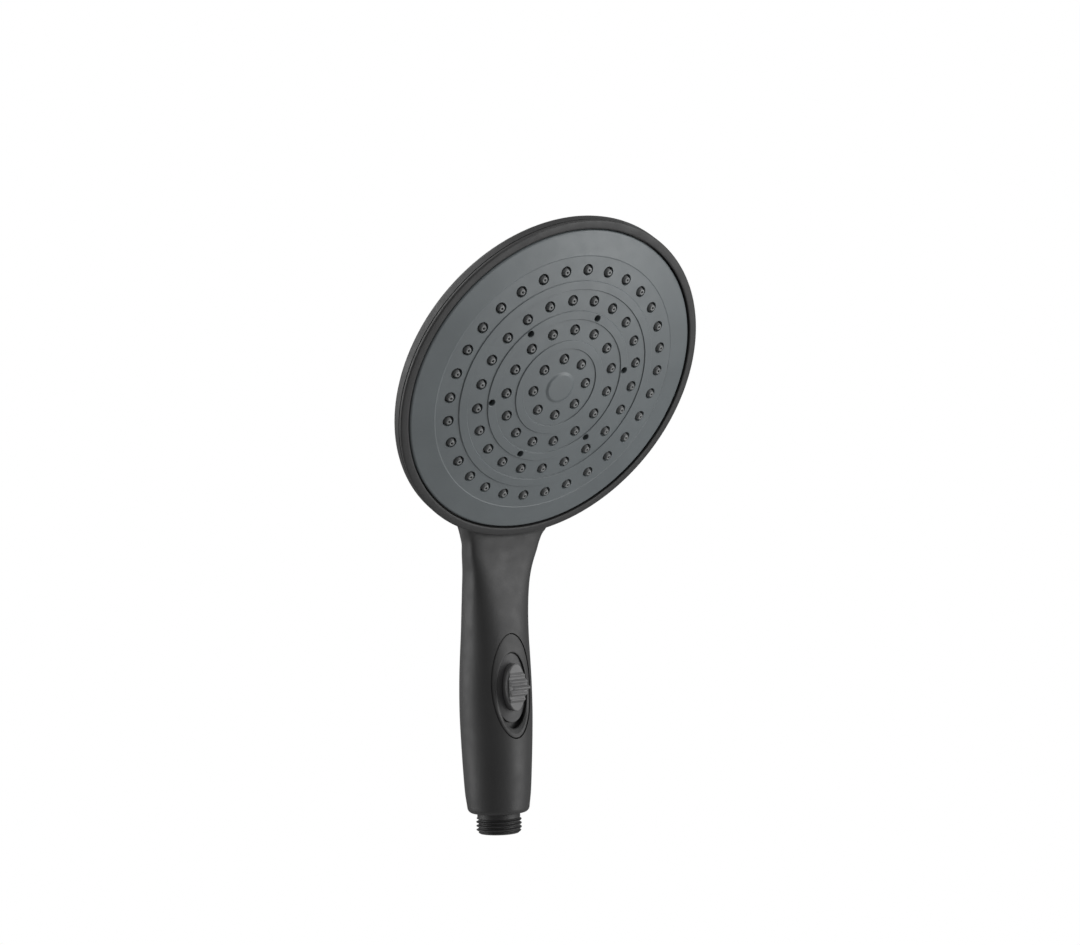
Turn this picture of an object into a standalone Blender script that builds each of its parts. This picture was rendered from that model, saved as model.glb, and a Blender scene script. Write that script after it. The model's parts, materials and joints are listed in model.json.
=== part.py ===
"""Handheld shower head: a one-piece handle and head shell, a domed spray face with
silicone nozzles, and a thumb slider that works a spool valve inside the handle.

Origin: centre of the hose thread's open end. +Z runs up the handle, the face looks to -Y.
Design sizes are in millimetres; build_object() turns them into metres."""

import math

import bmesh
import bpy
from mathutils import Matrix, Vector

MM = 0.001
DECIMALS = 6                 # of a millimetre, kept in a lofted point
GAP = 0.3                    # between pieces that touch or rest on each other
RUN = 0.3                    # running clearance of the slider's pieces
ROOM = 0.4                   # between the shell's inside and the waterway's pieces
BEYOND = 2.0                 # how far a cutting shape runs past the face it opens

# ---- hose thread and lower end ------------------------------------------------------------
THREAD_MAJOR = 10.478        # G1/2 parallel pipe thread, radius
THREAD_MINOR = 9.316
THREAD_PITCH = 1.814
THREAD_TURNS = 4
THREAD_LEAD_IN = 9.1         # radius of the chamfered open end
THREAD_FIRST = 0.55          # first crest from the open end, in pitches
COLLAR_STEP = 1.0            # collar inside the fitting's flange
COLLAR_LENGTH = 2.5
SEAT_LEDGE = 1.7             # ledge that the filter sits on
FITTING_WALL = 2.7           # round the wider bore that holds filter and flow regulator
FITTING_INSET = 14.1         # how far the fitting reaches up into the handle
FILTER_THICKNESS = 1.2
REGULATOR_LENGTH = 6.2
REGULATOR_ORIFICE = 2.2
REGULATOR_DISH = 2.0         # depth of the dished inflow side
REGULATOR_RIM = 2.5          # width of the flat rim round that dish
FILTER_HOLE = 1.5
FILTER_HOLE_RING = 4.2
FILTER_HOLES = 6
FITTING_SEAT_RISE = 1.4      # filter's seat above the shoulder
INLET_SEAL_DROP = 5.0        # inlet seal below the fitting's inner end
INLET_SEAL_SECTION = 0.65
PLUG_SEAL_SECTION = 0.5

# ---- handle outline -----------------------------------------------------------------------
HANDLE_LENGTH = 129.1        # shoulder to the foot of the head's rim, along Z
NECK_FRONT = 15.9            # how far that foot stands in front of the handle's axis
# share of the length, half width, widest line, front, back, squareness of the front
HANDLE_STATIONS = (
    (0.000, 12.6, 0.0, 12.6, 12.6, 2.0),
    (0.006, 13.6, 0.0, 13.6, 13.6, 2.0),
    (0.026, 14.5, 0.0, 14.5, 14.5, 2.0),
    (0.069, 15.2, 0.0, 15.2, 15.2, 2.0),
    (0.156, 15.9, 0.1, 16.0, 15.7, 2.0),
    (0.262, 16.6, 0.3, 16.6, 15.9, 2.0),
    (0.357, 17.1, 0.5, 16.7, 15.7, 2.0),
    (0.456, 17.1, 0.6, 15.9, 15.0, 2.1),
    (0.543, 16.5, 0.5, 15.1, 14.4, 2.3),
    (0.636, 15.9, 0.6, 14.2, 13.0, 2.5),
    (0.729, 15.8, 1.2, 13.3, 11.4, 2.8),
    (0.806, 15.9, 2.4, 12.8, 10.4, 3.4),
    (0.868, 16.5, 4.8, 12.8, 9.8, 4.2),
    (0.930, 18.3, 8.5, 13.5, 9.0, 4.6),
    (0.965, 19.8, 10.0, 14.5, 7.8, 4.8),
    (0.992, 21.6, 11.3, 15.4, 6.5, 5.0),
)
# distance inside the head's edge, half width, widest line, front, back, squareness
SPINE_STATIONS = (
    (5.6, 25.5, -9.0, -5.3, -24.3, 4.0),
    (16.6, 29.0, -11.0, -6.0, -24.2, 3.0),
    (36.6, 26.0, -14.0, -10.0, -24.0, 2.4),
    (60.6, 15.0, -19.0, -16.0, -23.2, 2.0),
)

# ---- head ---------------------------------------------------------------------------------
HEAD_TILT = 25.97            # the face looks down from the horizontal by this many degrees
RING_STEP = 14.04            # radial step of the nozzle rings
RING_COUNTS = (8, 15, 22, 30)
RING_STARTS = (95.5, 88.1, 78.3, 88.1)
JET_COUNT = 6
JET_START = 70.3
FACE_MARGIN = 17.74          # outer nozzle ring to the faceplate's edge
FACE_CROWN = 3.6             # rise of the domed face inside the outer nozzle ring
FACE_THICKNESS = 2.4
FACE_SKIRT = 6.0             # depth of the faceplate's edge behind the outer ring's plane
SKIRT_THICKNESS = 2.3
FACE_EDGE_DROP = 3.7
FACE_BEVEL = 0.75
MARGIN_STEP = 6.7            # outer nozzle ring to the step where the plain margin starts
STEP_HEIGHT = 0.15
BAND_INSET = 4.9             # nozzle ring to the raised band outside it
BAND_WIDTH = 4.4
BAND_HEIGHT = 0.4
BAND_SLOPE = 0.5
DISC_RADIUS = 7.0            # raised disc in the middle of the face
DISC_HEIGHT = 0.55
NOZZLE_HOLE = 2.25
JET_HOLE = 1.45
HOLE_REACH = 9.0             # half length of the cutters that open the face's holes
FACE_GAP = 0.8               # dark line between faceplate and rim
RIM_WIDTH = 3.9
RIM_FRONT = -2.8
RIM_BEVEL = 0.7
PARTING = -4.75              # line between the rim ring and the shell
RIM_SPIGOT = 3.6             # how far the rim ring reaches into the shell
HEAD_WALL = 3.0
SHELL_THICKNESS = 2.5
BACK_CROWN = -24.0
BACK_EDGE = -13.4
BACK_ROUNDING = 6.6
CAVITY_ROUNDING = 2.0        # cavity's edge inside the back's own edge
CAVITY_STEP = 6.0            # past the shell's open front

# ---- nozzle mat and manifold ----------------------------------------------------------------
MAT_THICKNESS = 1.6
MAT_MARGIN = 4.8
NOZZLE_BASE = 1.75
NOZZLE_TIP = 1.25
NOZZLE_PROUD = 0.9
OUTLET_DEPTH = 1.5
MANIFOLD_MARGIN = 3.0
MANIFOLD_PLATE = 2.8
MANIFOLD_WALL = 4.0
MANIFOLD_FLOOR = 1.6
CHANNEL_WIDTH = 3.6
CHANNEL_DEPTH = 1.2
FEED_HOLE = 1.3
FEEDS_PER_RING = 3
SEAL_WIDTH = 1.4
SEAL_HEIGHT = 0.9
SCREW_RADIUS = 1.5
SCREW_HEAD = 2.9
SCREW_HEAD_HEIGHT = 1.9
DRIVE_REACH = 1.8            # half length of the cross recess
DRIVE_HALF_WIDTH = 0.3
BOSS_RADIUS = 4.2
BOSS_DEPTH = 6.4
SCREW_END = 0.5

# ---- water tube ---------------------------------------------------------------------------
TUBE_RADIUS = 3.6
TUBE_BORE = 2.6
TUBE_DEPTH = 13.9            # below the outer ring's plane, where it enters the manifold
TUBE_STRAIGHT = 1.5          # straight length before the port
PORT_LENGTH = 5.8
PORT_WALL = 2.5
PORT_NECK = 3.9
PORT_REACH = 24.0            # how far the port runs inside the manifold
PORT_END_WALL = 2.0
MOUTH_HALF_WIDTH = 2.4       # slot that lets the port's water into the manifold
MOUTH_LENGTH = 8.0
SEAL_SECTION = 0.4           # half thickness of the small seal rings

# ---- slide valve and thumb switch --------------------------------------------------------
VALVE_RADIUS = 10.9
VALVE_BORE = 5.3
VALVE_PASSAGE = 3.0
VALVE_SOCKET = 7.5           # radius of the upper end that takes the water tube
VALVE_END_WALL = 2.0         # between the spool's chamber and the tube's socket
SOCKET_DEPTH = 6.0
SWITCH_HEIGHT = 58.65        # slider's centre above the shoulder
SPOOL_HALF = 16.0
SPOOL_BORE = 2.0
SPOOL_WAIST = 3.4
SPOOL_SEAL_INSET = 3.6       # seal's middle from the spool's end
TRAVEL = 4.0                 # each way from the middle position
FINGER_HALF_WIDTH = 1.6
FINGER_HALF_HEIGHT = 2.2
PLATE_HALF_WIDTH = 9.2
PLATE_HALF_HEIGHT = 16.0
PLATE_CLEAR = 1.1            # plate's back in front of the valve housing
PLATE_THICKNESS = 1.6
PLATE_SHIFT = -0.4           # plate's centre against the slider's centre
KNOB_HALF_WIDTH = 5.3
KNOB_HALF_HEIGHT = 10.95
KNOB_THICKNESS = 3.5
RIDGE_HEIGHTS = (1.1, 2.4, 4.6, 2.4, 1.1)
RIDGE_PITCH = 2.8
RIDGE_INSET = 0.4            # ridge's end inside the knob's edge
RIDGE_GROOVE = 0.3           # flat between two ridges
RIDGE_CREST = 0.3            # half width of a crest
RIDGE_ROOT = 0.4             # how deep a ridge starts inside the knob
RIDGE_TAPER = 0.02           # share of its width a ridge loses per millimetre of height
KNOB_PEG = 1.5
KNOB_PEG_OFFSET = 6.5
BEZEL_HALF_WIDTH = 10.6
BEZEL_HALF_HEIGHT = 23.9
BEZEL_RISE = 0.55            # bezel's centre above the slider's centre
BEZEL_BACK = 11.2
BEZEL_SUNK = 0.2             # bezel's face below the handle's surface
POCKET_OVERLAP = 0.5         # how far the switch's pocket cuts into the bore
OUTSIDE = 24.0               # well in front of the handle's surface
WINDOW_HALF_WIDTH = 8.3
WINDOW_HALF_HEIGHT = 17.4
WINDOW_DROP = 1.65           # window's centre below the slider's centre
BALL_RADIUS = 1.2
BALL_DROP = 10.2             # detent ball below the slider's centre
WELL_WALL = 1.0              # between the detent's well and the spool's bore
SPRING_SPACING = 1.2         # spring's length for each turn
SPRING_WIRE = 0.22
DIMPLE_DEPTH = 0.4
DIMPLE_RADIUS = 0.9

# ---- facet counts -------------------------------------------------------------------------
HEAD_SIDES = 32
MANIFOLD_SIDES = 24
HANDLE_SIDES = 24
BODY_SIDES = 18
SMALL_SIDES = 12
HOLE_SIDES = 6

# ---- places worked out from the sizes above -------------------------------------------------
THREAD_LENGTH = THREAD_TURNS * THREAD_PITCH
SHOULDER = THREAD_LENGTH + COLLAR_LENGTH
TILT = math.radians(HEAD_TILT)
RING_RADII = tuple(RING_STEP * (i + 1) for i in range(len(RING_COUNTS)))
OUTER_RING = RING_RADII[-1]
JET_RADIUS = RING_RADII[1] + BAND_INSET + BAND_WIDTH / 2
FACE_RADIUS = OUTER_RING + FACE_MARGIN
RIM_INNER = FACE_RADIUS + FACE_GAP
HEAD_RADIUS = RIM_INNER + RIM_WIDTH
CAVITY_RADIUS = HEAD_RADIUS - HEAD_WALL
BACK_RADIUS = HEAD_RADIUS - BACK_ROUNDING
MAT_RADIUS = OUTER_RING + MAT_MARGIN
MANIFOLD_RADIUS = MAT_RADIUS + MANIFOLD_MARGIN
DISC_UP = Vector((0.0, -math.sin(TILT), math.cos(TILT)))
FACE_NORMAL = Vector((0.0, -math.cos(TILT), -math.sin(TILT)))
RIM_FOOT = Vector((0.0, -NECK_FRONT, SHOULDER + HANDLE_LENGTH))
HEAD_CENTRE = RIM_FOOT + HEAD_RADIUS * DISC_UP - (PARTING - GAP / 2) * FACE_NORMAL
WORLD = Matrix.Identity(4)
HEAD_MATRIX = Matrix.Translation(HEAD_CENTRE * MM) @ Matrix.Rotation(math.pi / 2 + TILT, 4, "X")
SHELL_FRONT = PARTING - GAP / 2
RIM_BACK = PARTING + GAP / 2
BORE_RADIUS = VALVE_RADIUS + GAP
SLIDER_Z = SHOULDER + SWITCH_HEIGHT
POCKET_BACK = VALVE_RADIUS - POCKET_OVERLAP
PLATE_BACK = VALVE_RADIUS + PLATE_CLEAR
FITTING_FLANGE = VALVE_RADIUS
FITTING_SEAT_BORE = FITTING_FLANGE - FITTING_WALL
INLET_BORE = FITTING_SEAT_BORE - SEAT_LEDGE
COLLAR_RADIUS = FITTING_FLANGE - COLLAR_STEP
SPRING_LENGTH = PLATE_BACK - GAP - 2 * BALL_RADIUS - VALVE_BORE - WELL_WALL
SPRING_TURNS = SPRING_LENGTH / SPRING_SPACING
FITTING_TOP = SHOULDER + FITTING_INSET
SEAT_Z = SHOULDER + FITTING_SEAT_RISE
FILTER_TOP = SEAT_Z + GAP + FILTER_THICKNESS
REGULATOR_TOP = FILTER_TOP + GAP + REGULATOR_LENGTH
CHAMBER_LOW = SLIDER_Z - SPOOL_HALF - TRAVEL - RUN
CHAMBER_HIGH = SLIDER_Z + SPOOL_HALF + TRAVEL + RUN
SOCKET_LOW = CHAMBER_HIGH + VALVE_END_WALL
VALVE_TOP = SOCKET_LOW + SOCKET_DEPTH
VALVE_STEP = CHAMBER_HIGH + VALVE_END_WALL - 0.8
PORT_START = MANIFOLD_RADIUS + PORT_WALL / 4
PORT_END = PORT_START + PORT_LENGTH
SOCKET_BORE = TUBE_RADIUS + GAP
PORT_RADIUS = SOCKET_BORE + PORT_WALL
PLATE_FRONT = PLATE_BACK + PLATE_THICKNESS
KNOB_BACK = PLATE_FRONT + GAP
KNOB_FRONT = KNOB_BACK + KNOB_THICKNESS
MANIFOLD_JOINT = -8.4        # flat seam between the manifold's two halves


# ---- mesh helpers ---------------------------------------------------------------------------
def clear_scene():
    for thing in list(bpy.data.objects):
        bpy.data.objects.remove(thing, do_unlink=True)


def make_material(name, colour, roughness, metallic=0.0):
    material = bpy.data.materials.new(name)
    material.use_nodes = True
    shader = material.node_tree.nodes["Principled BSDF"]
    shader.inputs["Base Color"].default_value = (*colour, 1.0)
    shader.inputs["Roughness"].default_value = roughness
    shader.inputs["Metallic"].default_value = metallic
    return material


def build_object(name, shape, material=None, matrix=None, smooth=True):
    """Turn a bmesh in millimetres into an object in metres."""
    bmesh.ops.recalc_face_normals(shape, faces=shape.faces)
    bmesh.ops.scale(shape, vec=(MM, MM, MM), verts=shape.verts)
    mesh = bpy.data.meshes.new(name)
    shape.to_mesh(mesh)
    shape.free()
    if smooth:
        mesh.shade_smooth()
        mesh.set_sharp_from_angle(angle=math.radians(30))
    thing = bpy.data.objects.new(name, mesh)
    bpy.context.scene.collection.objects.link(thing)
    if material:
        mesh.materials.append(material)
    if matrix is not None:
        thing.matrix_world = matrix
    return thing


def join_rings(shape, rings, closed):
    """Skin rings of vertices that follow each other; closed joins the last to the first."""
    pairs = list(zip(rings, rings[1:]))
    if closed:
        pairs.append((rings[-1], rings[0]))
    for lower, upper in pairs:
        sides = max(len(lower), len(upper))
        for i in range(sides):
            j = (i + 1) % sides
            if len(lower) == 1 and len(upper) == 1:
                continue
            if len(lower) == 1:
                shape.faces.new((lower[0], upper[j], upper[i]))
            elif len(upper) == 1:
                shape.faces.new((lower[i], lower[j], upper[0]))
            else:
                shape.faces.new((lower[i], lower[j], upper[j], upper[i]))


def add_turned(shape, outline, sides, centre=(0.0, 0.0), phase=0.0):
    """Turn a closed outline of (radius, height) points about Z."""
    rings = []
    for radius, height in outline:
        if radius <= 1e-9:
            rings.append([shape.verts.new((centre[0], centre[1], height))])
            continue
        ring = []
        for i in range(sides):
            angle = phase + 2 * math.pi * i / sides
            x = centre[0] + radius * math.cos(angle)
            y = centre[1] + radius * math.sin(angle)
            ring.append(shape.verts.new((x, y, height)))
        rings.append(ring)
    join_rings(shape, rings, closed=True)


def turned(outline, sides):
    shape = bmesh.new()
    add_turned(shape, outline, sides)
    return shape


def lofted(rings):
    """Skin rings of points and close both ends with flat faces."""
    shape = bmesh.new()
    rows = []
    for ring in rings:
        points = [[round(value, DECIMALS) for value in point] for point in ring]
        rows.append([shape.verts.new(point) for point in points])
    join_rings(shape, rows, closed=False)
    shape.faces.new(rows[0])
    shape.faces.new(rows[-1])
    return shape


def rod_outline(radius, low, high):
    return [(0.0, low), (radius, low), (radius, high), (0.0, high)]


def tube_outline(inner, outer, low, high):
    return [(inner, low), (outer, low), (outer, high), (inner, high)]


def ring_outline(centre, section, height, points=4):
    """Round section of a seal ring."""
    outline = []
    for i in range(points):
        angle = 2 * math.pi * i / points
        outline.append((centre + section * math.cos(angle), height + section * math.sin(angle)))
    return outline


def box(low, high):
    shape = bmesh.new()
    bmesh.ops.create_cube(shape, size=1.0)
    size = [b - a for a, b in zip(low, high)]
    middle = [(a + b) / 2 for a, b in zip(low, high)]
    bmesh.ops.scale(shape, vec=size, verts=shape.verts)
    bmesh.ops.translate(shape, vec=middle, verts=shape.verts)
    return shape


def oval_prism(half_width, half_height, height, back, front, sides=36, stretch=0.0):
    """Oval in the X-Z plane, from -Y back to -Y front; stretch moves its two ends apart."""
    rings = []
    for depth in (back, front):
        ring = []
        for i in range(sides):
            angle = 2 * math.pi * i / sides
            rise = half_height * math.sin(angle)
            rise += math.copysign(stretch, rise) if abs(rise) > 0.01 else 0.0
            ring.append((half_width * math.cos(angle), -depth, height + rise))
        rings.append(ring)
    return lofted(rings)


def combine(thing, shapes, operation):
    """One exact Boolean with every helper shape at once; each comes with its own matrix."""
    helpers = bpy.data.collections.new(f"{thing.name}_{operation.lower()}")
    bpy.context.scene.collection.children.link(helpers)
    for shape, matrix in shapes:
        helper = build_object(f"{helpers.name}_{len(helpers.objects)}", shape, smooth=False)
        bpy.context.scene.collection.objects.unlink(helper)
        helpers.objects.link(helper)
        helper.matrix_world = matrix
        helper.hide_render = True
        helper.display_type = "WIRE"
    modifier = thing.modifiers.new(operation.title(), "BOOLEAN")
    modifier.operation = operation
    modifier.solver = "EXACT"
    modifier.operand_type = "COLLECTION"
    modifier.collection = helpers


# ---- shared curves --------------------------------------------------------------------------
def face_dome(radius):
    """Height of the domed face; zero at the outer nozzle ring."""
    return FACE_CROWN * (1 - (radius / OUTER_RING) ** 2)


def back_dome(radius):
    """Height of the shell's outer back."""
    return BACK_CROWN + (BACK_EDGE - BACK_CROWN) * (radius / BACK_RADIUS) ** 2


def squared_ring(half_width, widest, front, back, squareness, sides):
    """Closed section: a squared front half and a plain elliptic back half, both in Y."""
    ring = []
    for i in range(sides):
        angle = 2 * math.pi * i / sides
        across, along = math.cos(angle), math.sin(angle)
        power = 2 / squareness if along < 0 else 1.0
        reach = (front - widest) if along < 0 else (back - widest)
        x = half_width * math.copysign(abs(across) ** power, across)
        ring.append((x, widest + reach * abs(along) ** power))
    return ring


def nozzle_places():
    for radius, count, start in zip(RING_RADII, RING_COUNTS, RING_STARTS):
        for i in range(count):
            angle = math.radians(start - 360 * i / count)
            yield radius * math.cos(angle), radius * math.sin(angle)


def jet_places():
    for i in range(JET_COUNT):
        angle = math.radians(JET_START - 360 * i / JET_COUNT)
        yield JET_RADIUS * math.cos(angle), JET_RADIUS * math.sin(angle)


def tube_path(extra=0.0, points=9):
    """Centre line of the water tube, from the valve's socket to the manifold's port."""
    start = Vector((0.0, 0.0, SOCKET_LOW + GAP))
    end = HEAD_CENTRE - (PORT_START + GAP) * DISC_UP - TUBE_DEPTH * FACE_NORMAL
    up = Vector((0.0, 0.0, 1.0))
    foot = start + up * (VALVE_TOP - SOCKET_LOW)
    top = end - DISC_UP * (PORT_LENGTH + TUBE_STRAIGHT)
    reach = (top - foot).length * 0.4
    path = [start]
    for i in range(points):
        t = i / (points - 1)
        bend = (1 - t) ** 3 * foot
        bend += 3 * (1 - t) ** 2 * t * (foot + up * reach)
        bend += 3 * (1 - t) * t ** 2 * (top - DISC_UP * reach)
        path.append(bend + t ** 3 * top)
    path.append(end + DISC_UP * extra)
    return path


def swept_rings(path, radius, sides):
    """Rings square to a path that stays in the Y-Z plane."""
    rings = []
    for i, point in enumerate(path):
        ahead = path[min(i + 1, len(path) - 1)] - path[max(i - 1, 0)]
        side = Vector((1.0, 0.0, 0.0))
        normal = ahead.normalized().cross(side)
        ring = []
        for k in range(sides):
            angle = 2 * math.pi * (k + 0.5) / sides
            ring.append(point + radius * (math.cos(angle) * side + math.sin(angle) * normal))
        rings.append(ring)
    return rings


# ---- handle and head shell ------------------------------------------------------------------
def handle_rings(inset=0.0):
    rings = []
    for share, half_width, widest, front, back, squareness in HANDLE_STATIONS:
        height = SHOULDER + share * HANDLE_LENGTH
        flat = squared_ring(half_width - inset, -widest, -front + inset, back - inset, squareness,
                            HANDLE_SIDES)
        rings.append([(x, y, height) for x, y in flat])
    return rings


def spine_rings():
    """Continues the handle behind the head, in sections square to the disc."""
    rings = []
    for inside, half_width, widest, front, back, squareness in SPINE_STATIONS:
        flat = squared_ring(half_width, -widest, -front, -back, squareness, HANDLE_SIDES)
        up = (inside - HEAD_RADIUS) * DISC_UP
        ring = []
        for x, depth in flat:
            ring.append(HEAD_CENTRE + up + Vector((x, 0.0, 0.0)) - depth * FACE_NORMAL)
        rings.append(ring)
    return rings


def shell_outline():
    steps = 6
    outline = [(BACK_RADIUS * i / steps, back_dome(BACK_RADIUS * i / steps)) for i in range(steps + 1)]
    outline.append((HEAD_RADIUS - 2.6, BACK_EDGE + 1.7))
    outline.append((HEAD_RADIUS - 0.5, BACK_EDGE + 3.7))
    outline.append((HEAD_RADIUS, BACK_EDGE + 5.2))
    outline.append((HEAD_RADIUS, SHELL_FRONT))
    outline.append((0.0, SHELL_FRONT))
    return outline


def cavity_outline():
    steps = 5
    limit = BACK_RADIUS - CAVITY_ROUNDING
    outline = []
    for i in range(steps + 1):
        radius = limit * i / steps
        outline.append((radius, back_dome(radius) + SHELL_THICKNESS))
    outline.append((CAVITY_RADIUS, BACK_EDGE + 4.9))
    outline.append((CAVITY_RADIUS, SHELL_FRONT + CAVITY_STEP))
    outline.append((0.0, SHELL_FRONT + CAVITY_STEP))
    return outline


def port_rod(steps):
    """Stepped rod along the manifold's port; steps are (distance from the middle, radius)."""
    rings = []
    for distance, radius in steps:
        ring = []
        for k in range(SMALL_SIDES):
            angle = 2 * math.pi * (k + 0.5) / SMALL_SIDES
            x = radius * math.cos(angle)
            z = -TUBE_DEPTH + radius * math.sin(angle)
            ring.append((x, -distance, z))
        rings.append(ring)
    return lofted(rings)


def bore_outline():
    low = SHOULDER - BEYOND
    socket = VALVE_SOCKET + GAP
    return [(0.0, low), (BORE_RADIUS, low), (BORE_RADIUS, VALVE_STEP + GAP), (socket, VALVE_STEP + GAP),
            (socket, VALVE_TOP + GAP), (0.0, VALVE_TOP + GAP)]


def make_handle_body(material):
    body = build_object("handle_body", lofted(handle_rings() + spine_rings()), material)
    combine(body, [(turned(shell_outline(), HEAD_SIDES), HEAD_MATRIX)], "UNION")
    cavity = turned(cavity_outline(), HEAD_SIDES)
    bore = turned(bore_outline(), BODY_SIDES)
    passage = lofted(swept_rings(tube_path(PORT_REACH / 3), TUBE_RADIUS + ROOM, SMALL_SIDES))
    wide, slim = PORT_RADIUS + ROOM, PORT_NECK + ROOM
    port = port_rod([(PORT_END + ROOM, wide), (PORT_START - ROOM, wide), (PORT_START - ROOM - 0.1, slim),
                     (PORT_START - PORT_REACH - ROOM, slim)])
    pocket = oval_prism(BEZEL_HALF_WIDTH + GAP, BEZEL_HALF_HEIGHT + GAP, SLIDER_Z + BEZEL_RISE,
                        POCKET_BACK, OUTSIDE)
    cutters = [(cavity, HEAD_MATRIX), (bore, WORLD), (passage, WORLD), (port, HEAD_MATRIX), (pocket, WORLD)]
    combine(body, cutters, "DIFFERENCE")
    return body


# ---- head pieces ----------------------------------------------------------------------------
def make_rim_ring(material):
    spigot = CAVITY_RADIUS - GAP
    ledge = FACE_RADIUS - SKIRT_THICKNESS - GAP
    ledge_top = -FACE_SKIRT - GAP
    outline = [(RIM_INNER, RIM_FRONT - RIM_BEVEL), (RIM_INNER, ledge_top), (ledge, ledge_top)]
    outline += [(ledge, RIM_BACK - RIM_SPIGOT), (spigot, RIM_BACK - RIM_SPIGOT), (spigot, RIM_BACK)]
    outline += [(HEAD_RADIUS, RIM_BACK), (HEAD_RADIUS, RIM_FRONT - RIM_BEVEL)]
    outline += [(HEAD_RADIUS - RIM_BEVEL, RIM_FRONT), (RIM_INNER + RIM_BEVEL, RIM_FRONT)]
    return build_object("rim_ring", turned(outline, HEAD_SIDES), material, HEAD_MATRIX)


def faceplate_outline():
    edge = FACE_RADIUS
    outline = [(0.0, face_dome(0.0) + DISC_HEIGHT)]
    outline.append((DISC_RADIUS - BAND_SLOPE, face_dome(DISC_RADIUS) + DISC_HEIGHT))
    outline.append((DISC_RADIUS + BAND_SLOPE, face_dome(DISC_RADIUS)))
    for ring in RING_RADII[:-1]:
        inner, outer = ring + BAND_INSET, ring + BAND_INSET + BAND_WIDTH
        outline.append((inner, face_dome(inner)))
        outline.append((inner + BAND_SLOPE, face_dome(inner) + BAND_HEIGHT))
        outline.append((outer - BAND_SLOPE, face_dome(outer) + BAND_HEIGHT))
        outline.append((outer, face_dome(outer)))
    step = OUTER_RING + MARGIN_STEP
    outline.append((step - 2 * STEP_HEIGHT, face_dome(step)))
    outline.append((step, face_dome(step) + STEP_HEIGHT))
    outline.append((edge - FACE_BEVEL, -FACE_EDGE_DROP + FACE_BEVEL))
    outline.append((edge, -FACE_EDGE_DROP))
    outline.append((edge, -FACE_SKIRT))
    inside = edge - SKIRT_THICKNESS
    outline.append((inside, -FACE_SKIRT))
    outline.append((inside, face_dome(inside) - FACE_THICKNESS))
    for radius in (RING_RADII[3], RING_RADII[2], RING_RADII[1], RING_RADII[0]):
        outline.append((radius, face_dome(radius) - FACE_THICKNESS))
    outline.append((BOSS_RADIUS, face_dome(BOSS_RADIUS) - FACE_THICKNESS))
    outline.append((BOSS_RADIUS, -BOSS_DEPTH))
    outline.append((SCREW_RADIUS + GAP, -BOSS_DEPTH))
    outline.append((SCREW_RADIUS + GAP, SCREW_END))
    outline.append((0.0, SCREW_END))
    return outline


def add_holes(shape, places, radius, low, high, sides):
    for x, y in places:
        add_turned(shape, rod_outline(radius, low, high), sides, (x, y), math.atan2(y, x))


def make_faceplate(material):
    plate = build_object("faceplate", turned(faceplate_outline(), HEAD_SIDES), material, HEAD_MATRIX)
    holes = bmesh.new()
    add_holes(holes, nozzle_places(), NOZZLE_HOLE, -HOLE_REACH, HOLE_REACH, HOLE_SIDES)
    add_holes(holes, jet_places(), JET_HOLE, -HOLE_REACH, HOLE_REACH, HOLE_SIDES)
    combine(plate, [(holes, HEAD_MATRIX)], "DIFFERENCE")
    return plate


def dome_plate(top, thickness, inner, outer, steps=4):
    """Outline of a plate that follows the face's dome; top is its offset below the face."""
    radii = [inner + (outer - inner) * i / steps for i in range(steps + 1)]
    outline = [(radius, face_dome(radius) - top) for radius in radii]
    outline += [(radius, face_dome(radius) - top - thickness) for radius in reversed(radii)]
    return outline


def make_nozzle_mat(material):
    top = FACE_THICKNESS + GAP
    hole = BOSS_RADIUS + GAP
    outline = dome_plate(top, MAT_THICKNESS, hole, MAT_RADIUS)
    mat = build_object("nozzle_mat", turned(outline, MANIFOLD_SIDES), material, HEAD_MATRIX)
    cones = bmesh.new()
    for x, y in nozzle_places():
        height = face_dome(math.hypot(x, y))
        base = height - top - MAT_THICKNESS / 2
        tip = height + NOZZLE_PROUD
        outline = [(0.0, base), (NOZZLE_BASE, base), (NOZZLE_TIP, tip), (0.0, tip - OUTLET_DEPTH)]
        add_turned(cones, outline, HOLE_SIDES, (x, y), math.atan2(y, x))
    combine(mat, [(cones, HEAD_MATRIX)], "UNION")
    jets = bmesh.new()
    add_holes(jets, jet_places(), JET_HOLE, -HOLE_REACH, HOLE_REACH, HOLE_SIDES)
    combine(mat, [(jets, HEAD_MATRIX)], "DIFFERENCE")
    return mat


def manifold_front_outline():
    top = FACE_THICKNESS + MAT_THICKNESS + 2 * GAP
    rim = MANIFOLD_RADIUS - MANIFOLD_WALL
    hole = BOSS_RADIUS + GAP
    outline = [(hole, face_dome(hole) - top)]
    for ring in RING_RADII:
        inner, outer = ring - CHANNEL_WIDTH / 2, ring + CHANNEL_WIDTH / 2
        outline.append((inner, face_dome(inner) - top))
        outline.append((inner, face_dome(ring) - top - CHANNEL_DEPTH))
        outline.append((outer, face_dome(ring) - top - CHANNEL_DEPTH))
        outline.append((outer, face_dome(outer) - top))
    outline.append((MANIFOLD_RADIUS, face_dome(MANIFOLD_RADIUS) - top))
    outline.append((MANIFOLD_RADIUS, MANIFOLD_JOINT))
    outline.append((rim, MANIFOLD_JOINT))
    for radius in (RING_RADII[3] - 1.0, RING_RADII[2], RING_RADII[1], RING_RADII[0], hole):
        outline.append((radius, face_dome(radius) - top - MANIFOLD_PLATE))
    return outline


def feed_places():
    for radius, start in zip(RING_RADII, RING_STARTS):
        for i in range(FEEDS_PER_RING):
            angle = math.radians(start + 15 - 360 * i / FEEDS_PER_RING)
            yield radius * math.cos(angle), radius * math.sin(angle)
    yield from jet_places()


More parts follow.
